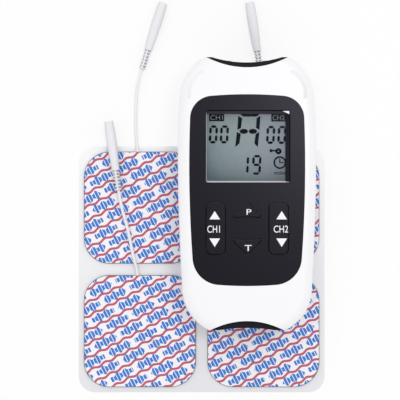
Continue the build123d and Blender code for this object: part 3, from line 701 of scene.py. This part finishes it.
paper = Finish("floorPaper", {"Base Color": (1.0, 1.0, 1.0), "Roughness": 0.9})
glow = paper.add("ShaderNodeEmission", None, {"Strength": 1.0})
values = {
    0: seenDirectly(paper) * (1 - light["floorShadow"]),
    1: paper.shader.outputs[0],
    2: glow.outputs[0],
}
paper.feed(paper.output.inputs[0], paper.add("ShaderNodeMixShader", None, values).outputs[0])
floorMesh = bpy.data.meshes.new("floor")
reach = light["floorReach"]
corners = [(x, y, light["floorSunk"]) for x, y in rectangle(-reach, -reach, reach, reach)]
floorMesh.from_pydata(corners, [], [(0, 1, 2, 3)])
floorMesh.materials.append(paper.material)
linked("floor", floorMesh)
print("stage set")

# release liner, gel and carbon film
liner = Finish("siliconeLiner", {"Coat Weight": 0.3, "Coat Roughness": 0.2})
drift = liner.noise(0.05, 3)
grain = liner.noise(3.0)
x, y, z = liner.place()
linerLow, linerHigh = lowest("release_liner"), highest("release_liner")
# painted light: the liner grows paler towards its top edge
litTowardsTop = (y - linerLow.y) / (linerHigh.y - linerLow.y)
liner.colour(liner.mix(litTowardsTop * 0.9 + drift * 0.4 - 0.1, srgb(232, 232, 236), srgb(253, 253, 255)))
liner.rough(0.3 + 0.1 * grain)
liner.bump(drift, 0.3, 0.25)
dress("release_liner", liner.material, "electrode_card")

gel = Finish("hydrogel", {"Roughness": 0.2, "Transmission Weight": 0.6, "IOR": 1.38})
gel.colour(gel.mix(gel.noise(0.4, 3), srgb(222, 224, 216), srgb(238, 239, 232)))
film = Finish("carbonFilm")
grain = film.noise(2.0, 3)
film.colour(film.mix(grain, srgb(84, 84, 88), srgb(104, 104, 109)))
film.rough(0.42 + 0.2 * grain)
for number in (1, 2, 3, 4):
    coat(gel.material, f"electrode_{number}_gel")
    coat(film.material, f"electrode_{number}_carbon")
strands = metal("tinnedStrands", srgb(176, 120, 86), srgb(210, 190, 170), 0.35, (1, 0.05, 1))
coat(strands, "lead_strands")

# electrode backings: a printed non-woven, swollen a little where the wire runs in
printed = {
    "tilt": 27,
    "rowPitch": 5.5,
    "waveHeight": 0.42,
    "waveLength": 6.2,
    "waveHalf": 0.55,
    "burstLength": 13.0,
    "burstRise": 1.7,
    "strokePitch": 1.5,
    "strokeShare": 0.8,
    "strokeHalf": 2.1,
    "beat": 3.7,
    "beatDepth": 0.28,
    "burstStart": 0.42,
    "rowShift": 4.3,
    "padShift": 3.1,
    "blueCover": 0.95,
    "redCover": 0.93,
    "blue": srgb(0, 110, 201),
    "red": srgb(192, 66, 92),
    "cloth": srgb(251, 249, 253),
}
backing = {
    "corner": 11.15,
    "edgeRound": 0.18,
    "around": 176,
    "rings": 26,
    "innerCorner": 0.35,
    "swell": 0.32,
    "swellWide": 1.3,
    "swellLong": 13.0,
}


def printedCloth(name, centre, shift):
    # rows of blue bursts between red waves, climbing to the right
    finish = Finish(name, {"Sheen Weight": 0.1})
    x, y, z = finish.place()
    turn = math.radians(printed["tilt"])
    across = (x - centre.x) * math.cos(turn) + (y - centre.y) * math.sin(turn) + shift
    up = (y - centre.y) * math.cos(turn) - (x - centre.x) * math.sin(turn)
    pitch = printed["rowPitch"]
    row = (up / pitch).floor()
    fromBlue = abs(up % pitch - pitch / 2)
    fromRed = (up + pitch / 2) % pitch - pitch / 2
    phase = across + row * printed["rowShift"]
    wave = (across * (2 * math.pi / printed["waveLength"])).sine() * printed["waveHeight"]
    red = abs(fromRed - wave) < printed["waveHalf"]
    swell = abs((phase * (math.pi / printed["burstLength"])).sine()) * printed["burstRise"]
    beatWave = (phase * (2 * math.pi / printed["beat"])).sine()
    beat = 1 - printed["beatDepth"] + printed["beatDepth"] * beatWave
    tall = finish.calc("MINIMUM", swell, 1.0) * beat * printed["strokeHalf"]
    stroke = (across / printed["strokePitch"]) % 1.0 < printed["strokeShare"]
    blue = (fromBlue < tall) & stroke & (swell > printed["burstStart"])
    weave = finish.noise(2.2, 4, (1, 0.45, 1))
    fibres = finish.noise(5.0, 3, (0.35, 1, 1))
    cloth = finish.mix(weave, shade(printed["cloth"], 0.985), printed["cloth"])
    wearAndSheen = finish.mix(fibres, printed["blue"], shade(printed["blue"], 1.2))
    waved = finish.mix(red * printed["redCover"], cloth, printed["red"])
    finish.colour(finish.mix(blue * printed["blueCover"], waved, wearAndSheen))
    finish.rough(0.78 + 0.12 * fibres)
    finish.bump(weave + fibres, 0.35, 0.06)
    return finish.material


def roundedSquare(side, corner, count):
    # evenly spaced points, from the middle of the right side
    half, straight = side / 2, side - 2 * corner
    bend = math.pi / 2 * corner
    quarter = straight + bend
    points = []
    for k in range(count):
        turn, s = divmod(4 * quarter * k / count, quarter)
        if s < straight / 2:
            p = Vector((half, s))
        elif s < straight / 2 + bend:
            a, hub = (s - straight / 2) / corner, half - corner
            p = Vector((hub + corner * math.cos(a), hub + corner * math.sin(a)))
        else:
            p = Vector((quarter - s, half))
        p.rotate(Matrix.Rotation(turn * math.pi / 2, 2))
        points.append(p)
    return points


def makeBacking(number):
    name = f"electrode_{number}_backing"
    low, high = lowest(name), highest(name)
    centre, side = (low + high) / 2, high.x - low.x
    edge, rings, count = backing["edgeRound"], backing["rings"], backing["around"]
    levels = [(0.0, low.z), (0.0, high.z - edge), (0.3 * edge, high.z - 0.3 * edge)]
    levels += [(edge + (side / 2 - edge) * k / rings, high.z) for k in range(rings)]
    verts, faces = [], []
    for inset, level in levels:
        ringSide = side - 2 * inset
        ringCorner = max(backing["corner"] - inset, backing["innerCorner"] * ringSide / 2)
        for p in roundedSquare(ringSide, ringCorner, count):
            x, y, lift = centre.x + p.x, centre.y + p.y, 0.0
            depth = (high.y - y) / backing["swellLong"]
            if level == high.z and depth < 1:
                off = (x - centre.x - lead["exitShift"]) / backing["swellWide"]
                lift = backing["swell"] * math.exp(-(off**2)) * (1 - depth**2)
            verts.append((x, y, level + lift))
    for ring in range(len(levels) - 1):
        for k in range(count):
            a, b = ring * count + k, ring * count + (k + 1) % count
            faces.append((a, b, b + count, a + count))
    faces.append(tuple((len(levels) - 1) * count + k for k in range(count)))
    faces.append(tuple(reversed(range(count))))
    cloth = printedCloth(f"printedCloth{number}", centre, printed["padShift"] * number)
    piece = solid(f"padBacking{number}", verts, faces, cloth, "electrode_card", 50)
    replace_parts(piece, name)
    flat, corner = side * mm, backing["corner"] * mm
    flat**2 - (4 - math.pi) * corner**2


for number in (1, 2, 3, 4):
    makeBacking(number)
print("electrodes laid")

# casing
satin = {"Specular IOR Level": 0.4}
dull = {"Specular IOR Level": 0.12}
violet = {"Specular IOR Level": 0.18, "Specular Tint": (0.89, 0.84, 1.0)}
casingLow, casingHigh = lowest("rear_shell"), highest("front_shell")
casingMiddle = Vector(((casingLow.x + casingHigh.x) / 2, (casingLow.y + casingHigh.y) / 2))
crease = {
    "ends": ((25.1, 41.8), (19.3, 52.6)),
    "bulge": 1.9,
    "half": 1.0,
    "reach": 6.8,
    "depth": 0.75,
    "softness": 0.6,
    "fade": 0.8,
    "foot": 1.15,
    "least": 0.3,
    "westShare": 0.6,
}


def creaseShadeMask(finish):
    # painted shade in the shallow crease inside each upper corner of the casing: an arc
    # through both ends, mirrored, fainter upwards and on the left
    x, y, z = finish.place()
    start, end = (Vector(spot) for spot in crease["ends"])
    run, bulge = (end - start).length, crease["bulge"]
    radius = (run**2 / 8 + bulge**2 / 2) / bulge
    out = Vector(((end - start).y, -(end - start).x)).normalized()
    middle = (start + end) / 2
    hub = middle + out * (bulge - radius)
    across, along = abs(x - casingMiddle.x), y - casingMiddle.y
    fromHub = ((across - hub.x) ** 2 + (along - hub.y) ** 2) ** 0.5
    fromMiddle = ((across - middle.x) ** 2 + (along - middle.y) ** 2) ** 0.5
    band = finish.calc("MAXIMUM", 1 - abs(fromHub - radius) / crease["half"], 0.0)
    fade = crease["foot"] - (along - start.y) / run * crease["fade"]
    below = finish.calc("MAXIMUM", fade, crease["least"])
    eastern = crease["westShare"] + (1 - crease["westShare"]) * (x > casingMiddle.x)
    soft = band ** crease["softness"]
    return soft * (fromMiddle < crease["reach"]) * below * eastern * crease["depth"]


edge = {"shell": 0.12, "door": 0.2, "clip": 0.35, "cap": 0.15}
keyTone, sheenTone, skirtTone = srgb(11, 10, 18), srgb(58, 57, 66), srgb(110, 108, 116)
skirtDrop = 0.5

casing = Finish("casingWhite", satin)
spark = casing.noise(6.0, 3)
tone = srgb(250, 250, 252)
shell = casing.mix(casing.noise(0.035), shade(tone, 0.992), tone)
# the casing's tone, with painted shade in its upper corner creases
casing.colour(casing.mix(creaseShadeMask(casing), shell, srgb(226, 226, 230)))
casing.rough(0.28 + 0.12 * spark)
casing.bump(spark, 0.25, 0.012)
casingWhite = casing.material
capBlack = moulded("capBlack", srgb(25, 24, 31), 0.5, 0.03, 0.15, dull)
panelBlack = moulded("panelBlack", keyTone, 0.25, 0.01, 0.12, violet)

# keys: black with a painted highlight on their edges that face up the casing, and a grey skirt
# below the face
keys = Finish("keyBlack", violet)
x, y, z = keys.place()
spark = keys.noise(6.0, 3)
# painted highlight: paler where the surface faces up the casing
wearAndSheen = keys.calc("MAXIMUM", keys.facing(1) * 1.5 - 0.2, 0.0)
skirt = z < highest("face_panel").z - skirtDrop
keys.colour(keys.mix(skirt, keys.mix(wearAndSheen, keyTone, sheenTone), skirtTone))
keys.rough(0.24 + 0.12 * spark)
keys.bump(spark, 0.25, 0.01)
keyBlack = keys.material

for name in ("front_shell", "rear_shell"):
    dress(name, casingWhite, "stimulator", edge["shell"])
dress("battery_door", casingWhite, "battery_door", edge["door"])
dress("belt_clip", casingWhite, "belt_clip", edge["clip"])
for name in ("top_end_cap", "bottom_end_cap", "output_jack_ch1", "output_jack_ch2"):
    dress(name, capBlack, "stimulator", edge["cap"])
dress("face_panel", panelBlack, "stimulator")
for name in ("rocker_ch1", "rocker_ch2", "key_p", "key_t"):
    dress(name, keyBlack, name)
print("casing dressed")

# legends on the keys, from the middle of the casing
legend = {
    "arrowWide": 4.6,
    "upArrow": (-11.1, -7.5),
    "downArrow": (-19.3, -23.0),
    "columns": {1: -14.0, 2: 14.85},
    "labels": {1: (-17.2, -16.85, -11.75, -13.75), 2: (11.4, -16.8, 17.65, -13.75)},
    "programme": (-0.3, -9.1, 1.8, -6.7),
    "timer": (-1.1, -24.7, 1.95, -22.15),
    "sunk": 0.03,
    "thick": 0.06,
    "labelWeight": 0.004,
    "letterWeight": 0.002,
}
white = Finish("legendWhite")
inkGrain = white.noise(5.0)
white.colour(white.mix(inkGrain, srgb(244, 244, 246), srgb(252, 252, 253)))
white.rough(0.5 + 0.1 * inkGrain)
legendWhite = white.material


def keyLetters(name, text, field, key, weight):
    level = highest(key).z - legend["sunk"]
    field = moved(field, *casingMiddle)
    lettering(name, text, field, level, legend["thick"], legendWhite, key, weight)


for channel, column in legend["columns"].items():
    rocker = f"rocker_ch{channel}"
    level = highest(rocker).z - legend["sunk"]
    arrows = []
    for base, tip in (legend["upArrow"], legend["downArrow"]):
        half = legend["arrowWide"] / 2
        spots = [(column - half, base), (column + half, base), (column, tip)]
        arrows.append([(casingMiddle.x + x, casingMiddle.y + y) for x, y in spots])
    plates(f"arrows{channel}", arrows, level, legend["thick"], legendWhite, rocker)
    field, weight = legend["labels"][channel], legend["labelWeight"]
    keyLetters(f"label{channel}", f"CH{channel}", field, rocker, weight)
keyLetters("legendP", "P", legend["programme"], "key_p", legend["letterWeight"])
keyLetters("legendT", "T", legend["timer"], "key_t", legend["letterWeight"])
print("keys marked")

# display: places are in millimetres from the lower left corner of its opening
display = {
    "border": 1.5,
    "wide": 36.4,
    "tall": 31.3,
    "pane": 0.2,
    "inkLevel": 0.04,
    "inkThick": 0.03,
    "tags": {"CH1": (1.35, 26.6, 7.95, 29.75), "CH2": (28.3, 26.45, 34.6, 29.75)},
    "tagMargin": 0.62,
    "tagRise": 0.02,
    "tagWeight": -0.012,
    "digits": [(1.7, 17.5), (6.45, 17.5), (26.5, 17.3), (31.35, 17.3)],
    "digitSize": (2.65, 6.75),
    "digitLine": 1.08,
    "minutes": [(14.95, "bc"), (20.25, "abcdfg")],
    "minutesY": 3.95,
    "minutesSize": (2.9, 7.5),
    "minutesLine": 1.02,
    "minutesWord": (29.6, 3.5, 34.3, 4.95),
    "wordWeight": 0.01,
    "clock": (32.0, 8.7),
    "clockRadius": 2.78,
    "clockLine": 0.7,
    "keyBow": (31.4, 13.6, 1.35, 1.05, 14),
    "keyStem": (28.5, 13.5, 30.4, 14.15),
    "keyBit": (27.6, 13.2, 28.75, 14.45),
    "slant": 0.06,
}
# painted light on its glass: the level in the middle, how fast it falls off, and the painted shade
# in the lower left corner
lcdLightPool = {
    "level": 0.88,
    "streak": 0.2,
    "middle": (0.5, 0.6),
    "across": 1.3,
    "along": 1.9,
    "corner": 0.24,
}
paneLow, paneHigh = lowest("display_window"), highest("display_window")
faceLevel = highest("face_panel").z
openLeft, openBottom = paneLow.x + display["border"], paneLow.y + display["border"]
inkLevel = paneLow.z + display["inkLevel"]

glass = Finish("greyDisplay", {"Specular IOR Level": 0.2})
x, y, z = glass.place()
right, up = (x - openLeft) / display["wide"], (y - openBottom) / display["tall"]
streaks = glass.noise(0.5, 3, (1, 0.4, 1))
middleX, middleY = lcdLightPool["middle"]
# painted light: brightest in the middle, darker towards the edges and in the lower left corner
level = lcdLightPool["level"] + lcdLightPool["streak"] * streaks
level = level - (right - middleX) ** 2 * lcdLightPool["across"]
level = level - (up - middleY) ** 2 * lcdLightPool["along"]
level = level - (1 - right) * (1 - up) * lcdLightPool["corner"]
lilac = glass.mix(right * right, srgb(164, 180, 184), srgb(170, 176, 188))
glass.colour(glass.mix(level, srgb(103, 119, 127), lilac))
glass.rough(0.4 + 0.2 * streaks)
coat(glass.material, "lcd_glass")

clear = Finish("clearWindow", {"Alpha": 0.08, "Roughness": 0.08})
clear.colour(clear.mix(clear.noise(0.1), srgb(20, 24, 26), srgb(28, 32, 34)))
outline = rectangle(paneLow.x, paneLow.y, paneHigh.x, paneHigh.y)
paneFoot = paneLow.z + display["pane"]
pane = (paneFoot, paneHigh.z - paneFoot, clear.material, "stimulator")
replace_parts(plates("windowPane", [outline], *pane), "display_window")

ink = Finish("displayInk", {"Specular IOR Level": 0.02})
inkGrain = ink.noise(1.2)
ink.colour(ink.mix(inkGrain, srgb(6, 14, 24), srgb(14, 23, 33)))
ink.rough(0.45 + 0.1 * inkGrain)


def segment(a, b, wide, cut=0.5):
    # one bar of a figure, pointed at both ends
    a, b = Vector(a), Vector(b)
    d = (b - a).normalized()
    n = Vector((-d.y, d.x)) * wide / 2
    e = d * wide * cut
    return [tuple(p) for p in (a, a + e - n, b - e - n, b, b - e + n, a + e + n)]


def figure(x, y, size, line, bars):
    # a seven-bar figure with its lower left corner at x, y
    wide, tall = size

    def at(px, py):
        return Vector((x + px + display["slant"] * py, y + py))

    ends = {
        "a": (at(0, tall), at(wide, tall)),
        "b": (at(wide, tall), at(wide, tall / 2)),
        "c": (at(wide, tall / 2), at(wide, 0)),
        "d": (at(0, 0), at(wide, 0)),
        "e": (at(0, tall / 2), at(0, 0)),
        "f": (at(0, tall), at(0, tall / 2)),
        "g": (at(0, tall / 2), at(wide, tall / 2)),
    }
    shapes = []
    for bar in bars:
        a, b = ends[bar]
        gap = (b - a).normalized() * (0.3 if bar in "bcef" else 0.1)
        shapes.append(segment(a + gap, b - gap, line))
    return shapes


def oval(x, y, wide, tall, count=28):
    turns = [2 * math.pi * k / count for k in range(count)]
    return [(x + wide / 2 * math.cos(t), y + tall / 2 * math.sin(t)) for t in turns]


def hoop(x, y, radius, line, pieces=24):
    # a ring as short bars set end to end
    spots = oval(x, y, 2 * radius - line, 2 * radius - line, pieces)
    shapes = []
    centre, share = Vector((x, y)), line / (2 * radius - line)
    for a, b in zip(spots, spots[1:] + spots[:1]):
        a, b = Vector(a) - centre, Vector(b) - centre
        rim = [a * (1 - share), b * (1 - share), b * (1 + share), a * (1 + share)]
        shapes.append([tuple(centre + p) for p in rim])
    return shapes


shapes = []
for x, y in display["digits"]:
    shapes += figure(x, y, display["digitSize"], display["digitLine"], "abcdef")
for x, bars in display["minutes"]:
    shapes += figure(x, display["minutesY"], display["minutesSize"], display["minutesLine"], bars)
# the programme letter: a top bar, four uprights and two ovals
shapes += [
    [(16.2, 28.6), (21.9, 28.6), (23.5, 29.8), (14.6, 29.8)],
    [(13.65, 22.8), (15.2, 23.7), (15.65, 27.9), (13.95, 28.9)],
    [(21.7, 23.7), (23.15, 22.8), (23.6, 28.9), (21.95, 27.9)],
    [(12.7, 15.4), (14.5, 17.0), (15.1, 21.1), (13.4, 21.9)],
    [(21.0, 17.0), (22.45, 15.4), (23.1, 21.9), (21.6, 21.1)],
    oval(16.4, 22.2, 3.6, 2.15),
    oval(20.35, 22.2, 3.5, 2.15),
]
# the lock sign, a small key lying on its side
shapes += hoop(*display["keyBow"])
shapes += [rectangle(*display["keyStem"]), rectangle(*display["keyBit"])]
# the clock and its hands
clockX, clockY = display["clock"]
shapes += hoop(clockX, clockY, display["clockRadius"], display["clockLine"])
shapes += [rectangle(clockX - 0.25, clockY - 0.2, clockX + 0.2, clockY + 1.75)]
shapes += [rectangle(clockX + 0.2, clockY - 0.2, clockX + 1.8, clockY + 0.2)]
shapes = [[(openLeft + x, openBottom + y) for x, y in s] for s in shapes]
inked = (inkLevel, display["inkThick"], ink.material, "stimulator")
plates("displaySegments", shapes, *inked)
tags = {text: moved(field, openLeft, openBottom) for text, field in display["tags"].items()}
plates("displayTags", [rectangle(*field) for field in tags.values()], *inked)
pale = Finish("tagLetters")
pale.colour(pale.mix(pale.noise(1.0), srgb(132, 142, 148), srgb(156, 164, 170)))
pale.rough(0.5 + 0.1 * pale.noise(3.0))
raised = (inkLevel + display["tagRise"], display["inkThick"], pale.material, "stimulator")
for text, field in tags.items():
    margin = display["tagMargin"]
    inner = (field[0] + margin, field[1] + margin, field[2] - margin, field[3] - margin)
    lettering(f"tag{text}", text, inner, *raised, display["tagWeight"])
word = moved(display["minutesWord"], openLeft, openBottom)
lettering("tagMinutes", "min", word, *inked, display["wordWeight"])

# the recess: sloping sides along the top and the right, painted dark as shadow, with a black line
# at their heads that is painted shadow, a pale lip along the bottom that is painted light and a
# painted glint in the upper right corner
bezel = {
    "dark": 1.2,
    "darkSide": 1.6,
    "line": 0.34,
    "pale": 0.62,
    "lipEnd": 0.6,
    "wall": 0.1,
    "draft": 0.3,
    "drop": 0.25,
    "lipDrop": 1.2,
    "seat": 0.02,
    "glintWide": 2.9,
    "glintTall": 1.3,
    "glintSunk": 0.34,
    "glintThick": 0.12,
}


def wedge(name, a, b, inward, inner, drop, material):
    # a sloping strip from a to b, high at the wall and down to the window inwards
    top, bottom = faceLevel - drop, paneHigh.z + bezel["seat"]
    inward = Vector(inward)
    verts = []
    for end in (Vector(a), Vector(b)):
        heel, foot = end + inward * bezel["draft"], end + inward * inner
        verts += [(heel.x, heel.y, bottom), (end.x, end.y, top), (foot.x, foot.y, bottom)]
    faces = [(0, 1, 2), (3, 5, 4), (0, 3, 4, 1), (1, 4, 5, 2), (2, 5, 3, 0)]
    return solid(name, verts, faces, material, "stimulator", 20)


left, bottom = openLeft + bezel["wall"], openBottom + bezel["wall"]
rightX = openLeft + display["wide"] - bezel["wall"]
topY = openBottom + display["tall"] - bezel["wall"]
lineX, lineY = rightX - bezel["line"], topY - bezel["line"]
faint, fainter = {"Specular IOR Level": 0.1}, {"Specular IOR Level": 0.05}
# painted shadow and light in the recess: a black shadow line, dark sides with the right one in
# darker shadow, a lit lip and a glint
shadowLine = moulded("recessLine", srgb(6, 6, 9), 0.6, shift=0.2, constants=fainter)
wall = moulded("recessWall", srgb(66, 65, 72), 0.6, shift=0.15, constants=faint)
shadow = moulded("recessShadow", srgb(40, 39, 46), 0.6, shift=0.2, constants=faint)
lip = moulded("recessLip", srgb(232, 234, 238), 0.4, grain=0.01, shift=0.08)
bright = moulded("recessGlint", srgb(243, 244, 248), 0.3, grain=0.01, shift=0.03)
wedge("recessTop", (left, lineY), (lineX, lineY), (0, -1), bezel["dark"], bezel["drop"], wall)
foot = (lineX, bottom + bezel["lipEnd"])
wedge("recessRight", foot, (lineX, lineY), (-1, 0), bezel["darkSide"], bezel["drop"], shadow)
foot = (lineX, bottom)
wedge("recessBottom", (left, bottom), foot, (0, 1), bezel["pale"], bezel["lipDrop"], lip)
lines = [rectangle(left, lineY, rightX, topY), rectangle(lineX, bottom, rightX, lineY)]
lineFoot = paneHigh.z + bezel["seat"]
lineTall = faceLevel - bezel["drop"] - lineFoot
plates("recessLines", lines, lineFoot, lineTall, shadowLine, "stimulator")
glint = [(lineX - bezel["glintWide"], lineY), (lineX, lineY - bezel["glintTall"]), (lineX, lineY)]
glintLevel = faceLevel - bezel["glintSunk"]
plates("recessCorner", [glint], glintLevel, bezel["glintThick"], bright, "stimulator")
print("display drawn")

# inside
coat(moulded("trayWhite", srgb(220, 220, 220), 0.5), "lcd_tray")
coat(moulded("ferrite", srgb(72, 70, 72), 0.6, shift=0.1), "transformers")
coat(moulded("chipBlack", srgb(34, 34, 36), 0.5, shift=0.1), "controller_chip", "buzzer")
coat(moulded("canSleeve", srgb(44, 52, 84), 0.3, shift=0.1), "capacitors")
coat(nickel, "key_switches", "battery_contacts")
steel = metal("zincSteel", srgb(150, 150, 152), srgb(188, 188, 190), 0.25)
coat(steel, "shell_screws")

# circuit board: paler copper tracks, a few of them at a time
tracks = {"pitch": 1.7, "share": 0.35, "from": 0.52}
board = Finish("solderMask", {"Coat Weight": 0.3, "Coat Roughness": 0.2})
x, y, z = board.place()
track = (x / tracks["pitch"]) % 1.0 < tracks["share"]
run = board.noise(0.18, 1, (0.3, 1.6, 1)) > tracks["from"]
board.colour(board.mix(track & run, srgb(28, 88, 54), srgb(44, 118, 74)))
board.rough(0.35 + 0.1 * board.noise(2.0))
coat(board.material, "circuit_board")

# cells: a steel can in a plain pale sleeve with a slate band at the tip's end
cell = {
    "tip": 2.72,
    "tipLong": 1.0,
    "room": 7.25,
    "radius": 7.22,
    "long": 50.5,
    "lip": 0.35,
    "sides": 56,
    "band": 0.24,
    "foil": 0.045,
}
cellsLow, cellsHigh = lowest("battery_cells"), highest("battery_cells")


def cellSleeve(name, start, sign):
    finish = Finish(name, {"Coat Weight": 0.4, "Coat Roughness": 0.15})
    x, y, z = finish.place()
    share = (y - start) * sign / cell["long"]
    scuff = finish.noise(0.8, 3)
    body = finish.mix(share < cell["band"], srgb(196, 199, 202), srgb(84, 98, 112))
    foil = (share < cell["foil"]) | (share > 1 - cell["foil"] / 2)
    body = finish.mix(scuff * 0.25, body, srgb(150, 150, 154))
    finish.colour(finish.mix(foil, body, srgb(188, 188, 190)))
    finish.rough(0.26 + 0.14 * scuff)
    return finish.material


def makeCell(index, sign):
    # sign is the way from the tip to the flat end
    x = cellsLow.x + cell["room"] if index == 0 else cellsHigh.x - cell["room"]
    y = cellsHigh.y if sign < 0 else cellsLow.y
    z = (cellsLow.z + cellsHigh.z) / 2
    r, lip, tip, end = cell["radius"], cell["lip"], cell["tipLong"], cell["long"]
    tipRadius = cell["tip"]
    profile = [(0, 0), (0, tipRadius - 0.4), (0.3, tipRadius), (tip, tipRadius), (tip, r - 2 * lip)]
    profile += [(tip + 0.1, r - 0.3 * lip), (tip + lip, r), (end - lip, r)]
    profile += [(end - 0.1, r - 0.3 * lip), (end, r - lip), (end, r - 3 * lip)]
    profile += [(end - 0.3, r - 4 * lip), (end - 0.3, 0)]
    wrap = cellSleeve(f"cellSleeve{index + 1}", y, sign)
    shape = (profile, (x, y, z), (0, sign, 0), cell["sides"])
    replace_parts(lathe(f"cell{index + 1}", *shape, wrap, "stimulator"), "battery_cells")


# the left cell's tip points up the casing, the right cell's down
makeCell(0, -1)
makeCell(1, 1)

# springs: one at the flat end of each cell
spring = {"turns": 3.25, "radius": 2.7, "wire": 0.28, "long": 3.9, "room": 3.0}
springsLow, springsHigh = lowest("battery_springs"), highest("battery_springs")
coilSpring = springTree()
for index, sign in enumerate((1, -1)):
    x = springsLow.x + spring["room"] if index == 0 else springsHigh.x - spring["room"]
    y = springsLow.y if sign > 0 else springsHigh.y
    z = (springsLow.z + springsHigh.z) / 2
    values = {
        "Turns": spring["turns"],
        "Radius": spring["radius"] * mm,
        "Wire": spring["wire"] * mm,
        "Height": (spring["long"] - 2 * spring["wire"]) * mm,
        "Turn": (-sign * math.pi / 2, 0, 0),
        "Place": (x * mm, (y + sign * spring["wire"]) * mm, z * mm),
        "Finish": steel,
    }
    piece = grown(f"coilSpring{index + 1}", coilSpring, values, "stimulator")
    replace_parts(piece, "battery_springs")
print("inside finished")
